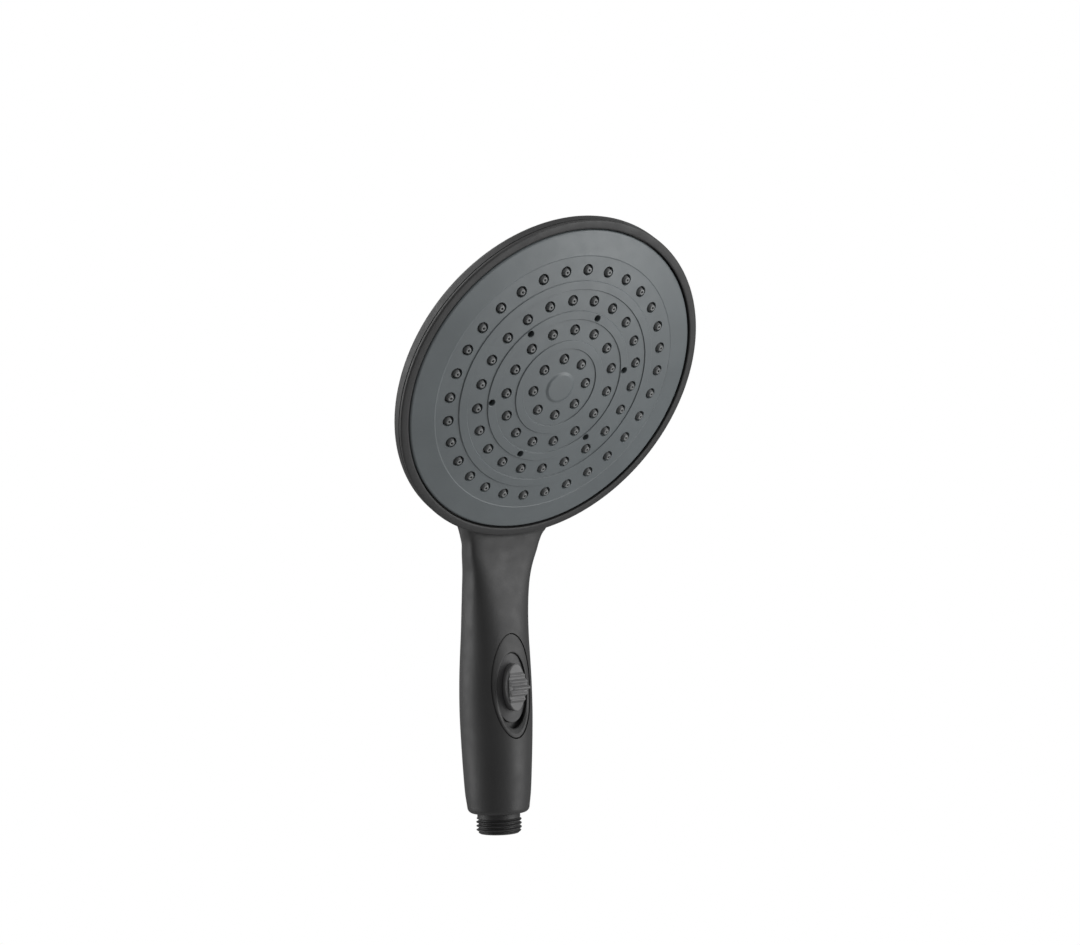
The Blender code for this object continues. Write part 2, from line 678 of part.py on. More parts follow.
def make_manifold_front(material):
    shape = turned(manifold_front_outline(), MANIFOLD_SIDES)
    front = build_object("manifold_front", shape, material, HEAD_MATRIX)
    holes = bmesh.new()
    add_holes(holes, feed_places(), FEED_HOLE, -2 * HOLE_REACH, HOLE_REACH, HOLE_SIDES)
    combine(front, [(holes, HEAD_MATRIX)], "DIFFERENCE")
    return front


def manifold_back_outline():
    lift = SHELL_THICKNESS + ROOM
    rim = MANIFOLD_RADIUS - MANIFOLD_WALL
    seat = MANIFOLD_JOINT - GAP
    groove = (rim + MANIFOLD_RADIUS - SEAL_WIDTH) / 2 - GAP
    floor = seat - SEAL_HEIGHT - GAP
    hole = SCREW_RADIUS + GAP
    radii = [MANIFOLD_RADIUS * share for share in (1.0, 0.75, 0.5, 0.25)]
    head = SCREW_HEAD + GAP
    seat_of_head = back_dome(0.0) + lift + SCREW_HEAD_HEIGHT + GAP
    outline = [(hole, -BOSS_DEPTH - GAP), (hole, seat_of_head), (head, seat_of_head)]
    outline.append((head, back_dome(head) + lift))
    outline += [(radius, back_dome(radius) + lift) for radius in reversed(radii)]
    outline += [(MANIFOLD_RADIUS, seat), (groove + SEAL_WIDTH + 2 * GAP, seat)]
    outline += [(groove + SEAL_WIDTH + 2 * GAP, floor), (groove, floor), (groove, seat), (rim, seat)]
    outline.append((rim, back_dome(rim) + lift + MANIFOLD_FLOOR))
    outline += [(radius, back_dome(radius) + lift + MANIFOLD_FLOOR) for radius in radii[1:]]
    outline.append((BOSS_RADIUS, back_dome(BOSS_RADIUS) + lift + MANIFOLD_FLOOR))
    outline.append((BOSS_RADIUS, -BOSS_DEPTH - GAP))
    return outline


def make_manifold_back(material):
    shape = turned(manifold_back_outline(), MANIFOLD_SIDES)
    back = build_object("manifold_back", shape, material, HEAD_MATRIX)
    inner_end = PORT_START - PORT_REACH
    port = port_rod([(PORT_END, PORT_RADIUS), (PORT_START, PORT_RADIUS), (PORT_START - 0.1, PORT_NECK),
                     (inner_end, PORT_NECK)])
    combine(back, [(port, HEAD_MATRIX)], "UNION")
    middle = (PORT_START + PORT_END) / 2
    reach = SEAL_SECTION + GAP
    groove = SOCKET_BORE + 2 * SEAL_SECTION + GAP
    waterway = port_rod([(PORT_END + BEYOND, SOCKET_BORE), (middle + reach, SOCKET_BORE),
                         (middle + reach - 0.05, groove), (middle - reach + 0.05, groove),
                         (middle - reach, SOCKET_BORE), (PORT_START, SOCKET_BORE),
                         (PORT_START - 0.1, TUBE_BORE), (inner_end + PORT_END_WALL, TUBE_BORE)])
    far = inner_end + PORT_END_WALL + 1.0
    mouth = box((-MOUTH_HALF_WIDTH, -far - MOUTH_LENGTH, -TUBE_DEPTH),
                (MOUTH_HALF_WIDTH, -far, -BOSS_DEPTH))
    combine(back, [(waterway, HEAD_MATRIX), (mouth, HEAD_MATRIX)], "DIFFERENCE")
    return back


def make_head_seal(material):
    rim = MANIFOLD_RADIUS - MANIFOLD_WALL
    inner = (rim + MANIFOLD_RADIUS - SEAL_WIDTH) / 2
    high = MANIFOLD_JOINT - GAP
    outline = tube_outline(inner, inner + SEAL_WIDTH, high - SEAL_HEIGHT, high)
    return build_object("head_seal", turned(outline, MANIFOLD_SIDES), material, HEAD_MATRIX)


def make_centre_screw(material):
    seat = back_dome(0.0) + SHELL_THICKNESS + ROOM + SCREW_HEAD_HEIGHT
    outline = [(0.0, seat - SCREW_HEAD_HEIGHT), (SCREW_HEAD, seat - SCREW_HEAD_HEIGHT)]
    outline += [(SCREW_HEAD, seat), (SCREW_RADIUS, seat)]
    outline += [(SCREW_RADIUS, SCREW_END - SCREW_RADIUS), (0.0, SCREW_END - SCREW_RADIUS / 2)]
    screw = build_object("centre_screw", turned(outline, SMALL_SIDES), material, HEAD_MATRIX)
    low = seat - SCREW_HEAD_HEIGHT
    slots = []
    for across, along in ((DRIVE_REACH, DRIVE_HALF_WIDTH), (DRIVE_HALF_WIDTH, DRIVE_REACH)):
        slot = box((-across, -along, low - BEYOND), (across, along, low + SCREW_HEAD_HEIGHT / 2))
        slots.append((slot, HEAD_MATRIX))
    combine(screw, slots, "DIFFERENCE")
    return screw


# ---- water tube ---------------------------------------------------------------------------
def make_water_tube(material):
    outer = swept_rings(tube_path(), TUBE_RADIUS, SMALL_SIDES)
    inner = swept_rings(tube_path(), TUBE_BORE, SMALL_SIDES)
    shape = bmesh.new()
    rows = [[shape.verts.new(point) for point in ring] for ring in outer + inner[::-1]]
    join_rings(shape, rows, closed=True)
    return build_object("water_tube", shape, material)


def seal_ring(name, centre_radius, section, height, material, matrix=None, sides=BODY_SIDES):
    shape = turned(ring_outline(centre_radius, section, height), sides)
    return build_object(name, shape, material, matrix)


def make_tube_seals(material):
    centre = TUBE_RADIUS + GAP + SEAL_SECTION
    seal_ring("tube_oring_lower", centre, SEAL_SECTION, (SOCKET_LOW + VALVE_TOP) / 2, material)
    turn = Matrix.Translation((0.0, -(PORT_START + PORT_END) / 2 * MM, -TUBE_DEPTH * MM))
    half_step = Matrix.Rotation(math.pi / SMALL_SIDES, 4, "Z")
    turn = HEAD_MATRIX @ turn @ Matrix.Rotation(math.pi / 2, 4, "X") @ half_step
    seal_ring("tube_oring_upper", centre, SEAL_SECTION, 0.0, material, turn, SMALL_SIDES)


# ---- slide valve ----------------------------------------------------------------------------
def make_valve_housing(material):
    spigot = FITTING_SEAT_BORE - GAP
    low = REGULATOR_TOP + GAP
    base = FITTING_TOP + GAP
    groove = (low + base) / 2
    half = PLUG_SEAL_SECTION + GAP
    floor = spigot - 2 * PLUG_SEAL_SECTION - GAP
    outline = [(VALVE_PASSAGE, low), (spigot, low), (spigot, groove - half), (floor, groove - half)]
    outline += [(floor, groove + half), (spigot, groove + half), (spigot, base), (VALVE_RADIUS, base)]
    outline += [(VALVE_RADIUS, VALVE_STEP), (VALVE_SOCKET, VALVE_STEP), (VALVE_SOCKET, VALVE_TOP)]
    seal = (SOCKET_LOW + VALVE_TOP) / 2
    reach = SEAL_SECTION + GAP
    floor = SOCKET_BORE + 2 * SEAL_SECTION + GAP
    outline += [(SOCKET_BORE, VALVE_TOP), (SOCKET_BORE, seal + reach), (floor, seal + reach)]
    outline += [(floor, seal - reach), (SOCKET_BORE, seal - reach), (SOCKET_BORE, SOCKET_LOW)]
    outline += [(VALVE_PASSAGE, SOCKET_LOW), (VALVE_PASSAGE, CHAMBER_HIGH), (VALVE_BORE, CHAMBER_HIGH)]
    outline += [(VALVE_BORE, CHAMBER_LOW), (VALVE_PASSAGE, CHAMBER_LOW)]
    housing = build_object("valve_housing", turned(outline, BODY_SIDES), material)
    width = FINGER_HALF_WIDTH + RUN
    height = FINGER_HALF_HEIGHT + TRAVEL + RUN
    slot = box((-width, -VALVE_RADIUS - BEYOND, SLIDER_Z - height), (width, -SPOOL_BORE, SLIDER_Z + height))
    well = detent_rod(BALL_RADIUS + GAP, detent_floor(), VALVE_RADIUS + BEYOND)
    combine(housing, [(slot, WORLD), (well, WORLD)], "DIFFERENCE")
    return housing


def detent_floor():
    """Depth of the detent pocket's floor, measured to the front from the handle's axis."""
    return PLATE_BACK - GAP - 2 * BALL_RADIUS - SPRING_LENGTH


def detent_rod(radius, back, front):
    rings = []
    for depth in (back, front):
        ring = []
        for k in range(8):
            angle = 2 * math.pi * k / 8
            x = radius * math.cos(angle)
            z = SLIDER_Z - BALL_DROP + radius * math.sin(angle)
            ring.append((x, -depth, z))
        rings.append(ring)
    return lofted(rings)


def make_detent(ball_material, spring_material):
    middle = PLATE_BACK - GAP - BALL_RADIUS
    shape = bmesh.new()
    bmesh.ops.create_icosphere(shape, subdivisions=1, radius=BALL_RADIUS)
    bmesh.ops.translate(shape, vec=(0.0, -middle, SLIDER_Z - BALL_DROP), verts=shape.verts)
    build_object("detent_ball", shape, ball_material)
    low = detent_floor() + GAP + SPRING_WIRE
    high = middle - BALL_RADIUS - GAP - SPRING_WIRE
    coil = BALL_RADIUS - SPRING_WIRE
    steps = round(SPRING_TURNS * 8)
    along = Vector((0.0, 1.0, 0.0))
    rings = []
    for i in range(steps + 1):
        angle = 2 * math.pi * SPRING_TURNS * i / steps
        out = Vector((math.cos(angle), 0.0, math.sin(angle)))
        depth = low + (high - low) * i / steps
        centre = Vector((0.0, -depth, SLIDER_Z - BALL_DROP)) + coil * out
        ring = []
        for k in range(4):
            turn = math.pi / 2 * k
            ring.append(centre + SPRING_WIRE * (math.cos(turn) * out + math.sin(turn) * along))
        rings.append(ring)
    build_object("detent_spring", lofted(rings), spring_material)


def make_slider(frame, plastic, rubber):
    """Spool, its seals, carrier and knob: everything that the thumb moves."""
    waist = FINGER_HALF_HEIGHT + GAP
    radius = VALVE_BORE - RUN
    floor = VALVE_BORE - 2 * SEAL_SECTION - 2 * GAP
    seal = SPOOL_HALF - SPOOL_SEAL_INSET
    reach = SEAL_SECTION + GAP
    outline = [(SPOOL_BORE, -SPOOL_HALF), (radius, -SPOOL_HALF)]
    for low, high, depth in ((-seal - reach, -seal + reach, floor), (-waist, waist, SPOOL_WAIST),
                             (seal - reach, seal + reach, floor)):
        outline += [(radius, low), (depth, low), (depth, high), (radius, high)]
    outline += [(radius, SPOOL_HALF), (SPOOL_BORE, SPOOL_HALF)]
    pieces = [build_object("valve_spool", turned(outline, BODY_SIDES), plastic)]
    centre = floor + GAP + SEAL_SECTION
    for name, height in (("spool_oring_lower", -seal), ("spool_oring_upper", seal)):
        pieces.append(seal_ring(name, centre, SEAL_SECTION, height, rubber))
    place = Matrix.Translation((0.0, 0.0, SLIDER_Z * MM))
    pieces.append(make_carrier(plastic, place))
    pieces.append(make_knob(plastic, place))
    for piece in pieces:
        piece.parent = frame


def make_carrier(material, place):
    shape = oval_prism(PLATE_HALF_WIDTH, PLATE_HALF_HEIGHT, PLATE_SHIFT, PLATE_BACK, PLATE_FRONT, 32)
    carrier = build_object("slider_carrier", shape, material)
    low = (-FINGER_HALF_WIDTH, -PLATE_BACK - PLATE_THICKNESS / 3, -FINGER_HALF_HEIGHT)
    high = (FINGER_HALF_WIDTH, -SPOOL_WAIST - GAP, FINGER_HALF_HEIGHT)
    combine(carrier, [(box(low, high), place)], "UNION")
    holes = []
    for side in (-1, 1):
        hole = peg(KNOB_PEG + GAP, side * KNOB_PEG_OFFSET, PLATE_BACK - BEYOND, PLATE_FRONT + BEYOND)
        holes.append((hole, place))
    dimple = peg(DIMPLE_RADIUS, -BALL_DROP, PLATE_BACK - BEYOND, PLATE_BACK + DIMPLE_DEPTH, 6)
    holes.append((dimple, place))
    combine(carrier, holes, "DIFFERENCE")
    return carrier


def peg(radius, height, back, front, sides=10):
    rings = []
    for depth in (back, front):
        ring = []
        for k in range(sides):
            angle = 2 * math.pi * k / sides
            ring.append((radius * math.cos(angle), -depth, height + radius * math.sin(angle)))
        rings.append(ring)
    return lofted(rings)


def ridge(height, rise):
    """Wedge across the knob, as wide as the knob is there, with its crest on top."""
    half = (RIDGE_PITCH - RIDGE_GROOVE) / 2
    foot = -KNOB_FRONT + RIDGE_ROOT
    crest = -KNOB_FRONT - rise
    share = (abs(height) + half) / KNOB_HALF_HEIGHT
    reach = KNOB_HALF_WIDTH * math.sqrt(1 - share ** 2) - RIDGE_INSET
    shape = bmesh.new()
    ends = []
    for x in (-reach, reach):
        shrink = 1 - RIDGE_TAPER * rise
        points = ((x, foot, height - half), (x, foot, height + half))
        tops = ((x * shrink, crest, height + RIDGE_CREST), (x * shrink, crest, height - RIDGE_CREST))
        ends.append([shape.verts.new(point) for point in points + tops])
    shape.faces.new(ends[0])
    shape.faces.new(ends[1])
    for i in range(4):
        j = (i + 1) % 4
        shape.faces.new((ends[0][i], ends[0][j], ends[1][j], ends[1][i]))
    return shape


def make_knob(material, place):
    shape = oval_prism(KNOB_HALF_WIDTH, KNOB_HALF_HEIGHT, 0.0, KNOB_BACK, KNOB_FRONT, 28)
    knob = build_object("thumb_knob", shape, material)
    middle = len(RIDGE_HEIGHTS) // 2
    added = []
    for i, rise in enumerate(RIDGE_HEIGHTS):
        added.append((ridge((middle - i) * RIDGE_PITCH, rise), place))
    for side in (-1, 1):
        stub = peg(KNOB_PEG, side * KNOB_PEG_OFFSET, PLATE_BACK + 2 * RUN, KNOB_BACK + RIDGE_ROOT)
        added.append((stub, place))
    combine(knob, added, "UNION")
    return knob


def make_bezel(material):
    centre = SLIDER_Z + BEZEL_RISE
    shape = oval_prism(BEZEL_HALF_WIDTH, BEZEL_HALF_HEIGHT, centre, BEZEL_BACK, OUTSIDE)
    bezel = build_object("switch_bezel", shape, material)
    combine(bezel, [(lofted(handle_rings(BEZEL_SUNK)), WORLD)], "INTERSECT")
    window = SLIDER_Z - WINDOW_DROP
    cut = oval_prism(WINDOW_HALF_WIDTH, WINDOW_HALF_HEIGHT, window, BEZEL_BACK - BEYOND, OUTSIDE + BEYOND)
    room = oval_prism(PLATE_HALF_WIDTH + RUN, PLATE_HALF_HEIGHT + RUN, SLIDER_Z + PLATE_SHIFT,
                      POCKET_BACK, PLATE_FRONT + RUN, stretch=TRAVEL)
    combine(bezel, [(cut, WORLD), (room, WORLD)], "DIFFERENCE")
    return bezel


# ---- hose inlet -----------------------------------------------------------------------------
def inlet_groove_floor():
    return BORE_RADIUS - 2 * INLET_SEAL_SECTION - 2 * GAP


def make_inlet_fitting(material):
    outline = [(INLET_BORE, 0.0), (THREAD_LEAD_IN, 0.0)]
    for turn in range(THREAD_TURNS):
        crest = (turn + THREAD_FIRST) * THREAD_PITCH
        outline.append((THREAD_MAJOR, crest))
        outline.append((THREAD_MINOR, crest + THREAD_PITCH / 2))
    groove = FITTING_TOP - INLET_SEAL_DROP
    half = INLET_SEAL_SECTION + GAP
    floor = inlet_groove_floor()
    outline += [(COLLAR_RADIUS, THREAD_LENGTH + THREAD_PITCH / 8), (COLLAR_RADIUS, SHOULDER + GAP)]
    outline += [(FITTING_FLANGE, SHOULDER + GAP), (FITTING_FLANGE, groove - half), (floor, groove - half)]
    outline += [(floor, groove + half), (FITTING_FLANGE, groove + half), (FITTING_FLANGE, FITTING_TOP)]
    outline += [(FITTING_SEAT_BORE, FITTING_TOP), (FITTING_SEAT_BORE, SEAT_Z), (INLET_BORE, SEAT_Z)]
    return build_object("inlet_fitting", turned(outline, BODY_SIDES), material)


def make_inlet_seals(material):
    centre = inlet_groove_floor() + GAP + INLET_SEAL_SECTION
    seal_ring("inlet_oring", centre, INLET_SEAL_SECTION, FITTING_TOP - INLET_SEAL_DROP, material)
    centre = FITTING_SEAT_BORE - GAP - PLUG_SEAL_SECTION
    middle = REGULATOR_TOP - REGULATOR_LENGTH / 2
    seal_ring("regulator_oring", centre, PLUG_SEAL_SECTION, middle, material)
    middle = (REGULATOR_TOP + FITTING_TOP + 2 * GAP) / 2
    seal_ring("housing_oring", centre, PLUG_SEAL_SECTION, middle, material)


def make_inlet_filter(material):
    radius = FITTING_SEAT_BORE - GAP
    low = SEAT_Z + GAP
    outline = rod_outline(radius, low, low + FILTER_THICKNESS)
    screen = build_object("inlet_filter", turned(outline, BODY_SIDES), material)
    places = [(0.0, 0.0)]
    for i in range(FILTER_HOLES):
        angle = 2 * math.pi * i / FILTER_HOLES
        places.append((FILTER_HOLE_RING * math.cos(angle), FILTER_HOLE_RING * math.sin(angle)))
    holes = bmesh.new()
    add_holes(holes, places, FILTER_HOLE, low - BEYOND, low + FILTER_THICKNESS + BEYOND, 4)
    combine(screen, [(holes, WORLD)], "DIFFERENCE")
    return screen


def make_flow_regulator(material):
    radius = FITTING_SEAT_BORE - GAP
    low = FILTER_TOP + GAP
    middle = REGULATOR_TOP - REGULATOR_LENGTH / 2
    half = PLUG_SEAL_SECTION + GAP
    floor = radius - 2 * PLUG_SEAL_SECTION - GAP
    outline = [(REGULATOR_ORIFICE, low + REGULATOR_DISH), (radius - REGULATOR_RIM, low), (radius, low)]
    outline += [(radius, middle - half), (floor, middle - half), (floor, middle + half)]
    outline += [(radius, middle + half), (radius, REGULATOR_TOP), (REGULATOR_ORIFICE, REGULATOR_TOP)]
    return build_object("flow_regulator", turned(outline, BODY_SIDES), material)


def build():
    clear_scene()
    black = make_material("black_body", (0.028, 0.028, 0.029), 0.38)
    grey = make_material("face_grey", (0.085, 0.095, 0.098), 0.42)
    switch_grey = make_material("switch_grey", (0.075, 0.075, 0.075), 0.5)
    silicone = make_material("nozzle_silicone", (0.05, 0.052, 0.053), 0.6)
    inner = make_material("inner_plastic", (0.55, 0.55, 0.53), 0.45)
    seal = make_material("seal_rubber", (0.015, 0.015, 0.015), 0.7)
    steel = make_material("steel", (0.6, 0.6, 0.6), 0.3, 1.0)
    slider_frame = bpy.data.objects.new("slider_frame", None)
    slider_frame.location = (0.0, 0.0, SLIDER_Z * MM)
    bpy.context.scene.collection.objects.link(slider_frame)
    make_handle_body(black)
    make_rim_ring(black)
    make_faceplate(grey)
    make_nozzle_mat(silicone)
    make_manifold_front(inner)
    make_manifold_back(inner)
    make_head_seal(seal)
    make_centre_screw(steel)
    make_water_tube(inner)
    make_tube_seals(seal)
    make_valve_housing(inner)
    make_detent(steel, steel)
    make_slider(slider_frame, switch_grey, seal)
    make_bezel(black)
    make_inlet_fitting(black)
    make_inlet_seals(seal)
    make_inlet_filter(inner)
    make_flow_regulator(inner)
    bpy.context.view_layer.update()


build()
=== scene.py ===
"""Looks of the handheld shower head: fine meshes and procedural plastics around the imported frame.

Lengths are in millimetres in the builders below and turned into metres when a mesh is made."""

import json
import math

import bmesh
import bpy
import numpy as np
from mathutils import Matrix, Vector
from mathutils.bvhtree import BVHTree

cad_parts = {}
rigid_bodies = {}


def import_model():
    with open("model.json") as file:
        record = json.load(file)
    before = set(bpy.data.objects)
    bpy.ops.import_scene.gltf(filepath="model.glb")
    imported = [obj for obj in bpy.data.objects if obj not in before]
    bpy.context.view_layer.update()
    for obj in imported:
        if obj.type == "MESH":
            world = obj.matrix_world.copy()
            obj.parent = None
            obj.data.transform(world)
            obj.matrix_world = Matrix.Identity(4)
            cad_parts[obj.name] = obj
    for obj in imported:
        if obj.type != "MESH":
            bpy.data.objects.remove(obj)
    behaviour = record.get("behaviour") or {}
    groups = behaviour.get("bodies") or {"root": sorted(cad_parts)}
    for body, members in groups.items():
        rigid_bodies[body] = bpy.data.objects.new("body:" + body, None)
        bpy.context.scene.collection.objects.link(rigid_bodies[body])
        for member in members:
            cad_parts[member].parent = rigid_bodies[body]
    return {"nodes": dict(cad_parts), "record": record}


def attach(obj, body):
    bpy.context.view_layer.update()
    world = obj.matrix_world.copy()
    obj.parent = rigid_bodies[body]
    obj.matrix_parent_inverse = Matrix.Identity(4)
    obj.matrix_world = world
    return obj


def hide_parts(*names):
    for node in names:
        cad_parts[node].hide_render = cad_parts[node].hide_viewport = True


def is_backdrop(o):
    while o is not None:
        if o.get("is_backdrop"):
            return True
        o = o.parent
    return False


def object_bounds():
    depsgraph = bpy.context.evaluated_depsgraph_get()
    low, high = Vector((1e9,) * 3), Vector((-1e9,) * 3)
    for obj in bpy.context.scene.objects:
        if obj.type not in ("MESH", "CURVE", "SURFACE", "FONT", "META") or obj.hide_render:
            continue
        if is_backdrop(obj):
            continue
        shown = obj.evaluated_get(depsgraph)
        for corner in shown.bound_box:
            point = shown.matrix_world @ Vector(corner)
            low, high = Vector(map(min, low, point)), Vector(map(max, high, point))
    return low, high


MM = 0.001
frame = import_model()
cad_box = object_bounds()

# ---- sizes shared with the frame -----------------------------------------------------------------
SHOULDER = 9.756             # foot of the handle above the end of the thread
HANDLE_LENGTH = 129.1
HANDLE_BORE = 11.2
TILT = math.radians(25.97)   # the spray face looks down by this much
HEAD_RADIUS = 78.6
FACE_CROWN = 3.6             # rise of the face's dome over its outer ring of nozzles
BACK_CROWN = -24.0
BACK_EDGE = -13.4
BACK_RADIUS = 72.0
BACK_WALL = 2.5
SHELL_FRONT = -4.9
SIDE_START = -7.6            # depth at which the head's side becomes straight
BLANK_FRONT = -1.5           # the shell is made to here, then cut back to its front
RIM_INNER = 74.7
RIM_BACK = -4.6
FACE_RADIUS = 73.9
FACE_WALL = 2.4
RING_STEP = 14.04
RING_COUNTS = (8, 15, 22, 30)
RING_STARTS = (95.5, 88.1, 78.3, 88.1)
OUTER_RING = RING_STEP * len(RING_COUNTS)
NOZZLE_HOLE = 2.6
JET_COUNT = 6
JET_RADIUS = 35.18
JET_START = 70.3
JET_HOLE = 1.55
CENTRE_EDGE = 6.1            # raised disc in the middle of the face
CENTRE_RISE = 0.55
CENTRE_WALL = 1.6
BAND_INSET = 4.9             # inner edge of a raised band outside its ring of nozzles
BAND_WIDTH = 4.4
BAND_RISE = 0.5
BAND_WALL = 0.36
MARGIN_START = OUTER_RING + 6.7
MARGIN_LIP = 0.15
MARGIN_LIP_WIDTH = 0.6
MARGIN_SLOPE = -0.2128
SLIDER_Z = 68.406            # middle of the thumb switch
SLIDER_TRAVEL = 4.0          # each way
BEZEL_HALF_WIDTH = 10.6
BEZEL_HALF_HEIGHT = 23.9
BEZEL_Z = SLIDER_Z + 0.55
WINDOW_HALF_WIDTH = 8.3
WINDOW_HALF_HEIGHT = 17.4
WINDOW_Z = SLIDER_Z - 1.65
PLATE_HALF_WIDTH = 9.2
PLATE_HALF_HEIGHT = 16.0
PLATE_Z = SLIDER_Z - 0.4
PLATE_BACK = 12.0
PLATE_FRONT = 13.6
PLATE_BOW = 1.4              # the switch plate's edges lie this far behind its middle
PLATE_ROOM = 0.3
KNOB_HALF_WIDTH = 5.3
KNOB_HALF_HEIGHT = 10.95
KNOB_BACK = 13.9
KNOB_FRONT = 17.4
PEG_OFFSET = 6.5
RIDGE_STEP = 2.8
RIDGE_CRESTS = (1.1, 2.4, 4.6, 2.4, 1.1)
RIDGE_VALLEYS = (0.7, 1.9, 1.9, 0.7)
THREAD_PITCH = 1.814
THREAD_MINOR = 9.316
THREAD_MAJOR = 10.478
THREAD_END = 7.5
NECK_RADIUS = 9.9            # plain neck between thread and collar
# share of the handle's length, half width, widest line before the axis, front, back, squareness
HANDLE_STATIONS = (
    (0.000, 12.9, 0.0, 12.9, 12.9, 2.0),
    (0.004, 13.6, 0.0, 13.6, 13.6, 2.0),
    (0.011, 14.2, 0.0, 14.2, 14.2, 2.0),
    (0.026, 14.5, 0.0, 14.5, 14.5, 2.0),
    (0.069, 15.2, 0.0, 15.2, 15.2, 2.0),
    (0.156, 15.9, 0.1, 16.0, 15.7, 2.0),
    (0.262, 16.6, 0.3, 16.6, 15.9, 2.0),
    (0.357, 17.1, 0.5, 16.7, 15.7, 2.0),
    (0.456, 17.1, 0.6, 15.9, 15.0, 2.1),
    (0.543, 16.5, 0.5, 15.1, 14.4, 2.3),
    (0.636, 15.9, 0.6, 14.2, 13.0, 2.5),
    (0.729, 15.8, 1.2, 13.3, 11.4, 2.8),
    (0.806, 15.9, 2.4, 12.8, 10.4, 3.4),
    (0.868, 16.5, 4.8, 12.8, 9.8, 4.2),
    (0.930, 18.3, 8.5, 13.5, 9.0, 4.6),
    (0.965, 19.2, 10.0, 14.5, 7.8, 4.8),
    (0.992, 20.4, 11.3, 15.4, 6.5, 5.0),
)
# height inside the head's edge, half width, then depths of the widest line, front and back, squareness
SPINE_STATIONS = (
    (5.6, 25.5, -9.0, -5.3, -24.3, 4.0),
    (16.6, 29.0, -11.0, -6.0, -24.2, 3.0),
    (36.6, 26.0, -14.0, -10.0, -24.0, 2.4),
    (60.6, 15.0, -19.0, -16.0, -23.2, 2.0),
)
DISC_UP = Vector((0.0, -math.sin(TILT), math.cos(TILT)))
FACE_NORMAL = Vector((0.0, -math.cos(TILT), -math.sin(TILT)))
NECK_FRONT = Vector((0.0, -15.9, SHOULDER + HANDLE_LENGTH))
HEAD_CENTRE = NECK_FRONT + HEAD_RADIUS * DISC_UP - SHELL_FRONT * FACE_NORMAL
HEAD = Matrix.Translation(HEAD_CENTRE * MM) @ Matrix.Rotation(math.pi / 2 + TILT, 4, "X")
WORLD = Matrix.Identity(4)
VOXEL = 0.9
LOFT_SIDES = 192
BLEND_EDGE = 1.5             # blend between handle and head at the rim
BLEND_BACK = 20.0            # what the blend gains behind the head


# ---- mesh builders -------------------------------------------------------------------------------
def make_mesh(name, verts, faces, material=None, matrix=WORLD, sharp=35.0):
    """Mesh object from points in millimetres; the matrix is baked into its vertices."""
    points = np.asarray(verts, float) * MM
    turn = np.array(matrix, float)
    points = points @ turn[:3, :3].T + turn[:3, 3]
    mesh = bpy.data.meshes.new(name)
    mesh.from_pydata(points.tolist(), [], faces)
    mesh.validate()
    mesh.shade_smooth()
    if sharp:
        mesh.set_sharp_from_angle(angle=math.radians(sharp))
    thing = bpy.data.objects.new(name, mesh)
    bpy.context.scene.collection.objects.link(thing)
    if material:
        mesh.materials.append(material)
    return thing


def skin(rings, closed=False, caps=True):
    """Faces over rings of equal length; a ring may also be a single pole point."""
    verts, faces, starts = [], [], []
    for ring in rings:
        starts.append(len(verts))
        verts.extend(ring)
    order = list(range(len(rings)))
    pairs = list(zip(order, order[1:])) + ([(order[-1], order[0])] if closed else [])
    for a, b in pairs:
        na, nb = len(rings[a]), len(rings[b])
        n = max(na, nb)
        for i in range(n):
            j = (i + 1) % n
            if na == 1 and nb == 1:
                continue
            if na == 1:
                faces.append((starts[a], starts[b] + j, starts[b] + i))
            elif nb == 1:
                faces.append((starts[a] + i, starts[a] + j, starts[b]))
            else:
                faces.append((starts[a] + i, starts[a] + j, starts[b] + j, starts[b] + i))
    if caps and not closed:
        if len(rings[0]) > 2:
            faces.append(tuple(range(starts[0] + len(rings[0]) - 1, starts[0] - 1, -1)))
        if len(rings[-1]) > 2:
            faces.append(tuple(range(starts[-1], starts[-1] + len(rings[-1]))))
    return verts, faces


def turned_rings(profile, sides):
    """Rings of a profile, given as (radius, height), turned about Z."""
    rings = []
    for radius, height in profile:
        if radius < 1e-6:
            rings.append([(0.0, 0.0, height)])
            continue
        ring = []
        for i in range(sides):
            angle = 2 * math.pi * i / sides
            ring.append((radius * math.cos(angle), radius * math.sin(angle), height))
        rings.append(ring)
    return rings


def turned(name, profile, sides, material=None, matrix=WORLD, sharp=35.0):
    """Solid of revolution of a closed profile about Z."""
    verts, faces = skin(turned_rings(profile, sides), closed=True)
    return outward(make_mesh(name, verts, faces, material, matrix, sharp))


def outward(thing):
    """Point all normals outwards."""
    shape = bmesh.new()
    shape.from_mesh(thing.data)
    bmesh.ops.recalc_face_normals(shape, faces=shape.faces)
    shape.to_mesh(thing.data)
    shape.free()
    return thing


def apply_modifiers(thing):
    """Turn the evaluated shape into the object's own mesh."""
    depsgraph = bpy.context.evaluated_depsgraph_get()
    mesh = bpy.data.meshes.new_from_object(thing.evaluated_get(depsgraph))
    old = thing.data
    thing.modifiers.clear()
    thing.data = mesh
    mesh.name = thing.name
    bpy.data.meshes.remove(old)
    return thing


def cut(thing, cutters, operation="DIFFERENCE"):
    """One exact Boolean with all helpers, then the helpers go."""
    helpers = bpy.data.collections.new("helpers")
    bpy.context.scene.collection.children.link(helpers)
    for cutter in cutters:
        bpy.context.scene.collection.objects.unlink(cutter)
        helpers.objects.link(cutter)
    modifier = thing.modifiers.new("cut", "BOOLEAN")
    modifier.operation = operation
    modifier.solver = "EXACT"
    modifier.operand_type = "COLLECTION"
    modifier.collection = helpers
    apply_modifiers(thing)
    for cutter in list(helpers.objects):
        bpy.data.objects.remove(cutter)
    bpy.data.collections.remove(helpers)
    return thing


def finish_piece(thing, body, slot, *nodes):
    """Put a piece on its body, in place of the frame's plain nodes."""
    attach(thing, body)
    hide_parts(*nodes)
    return thing


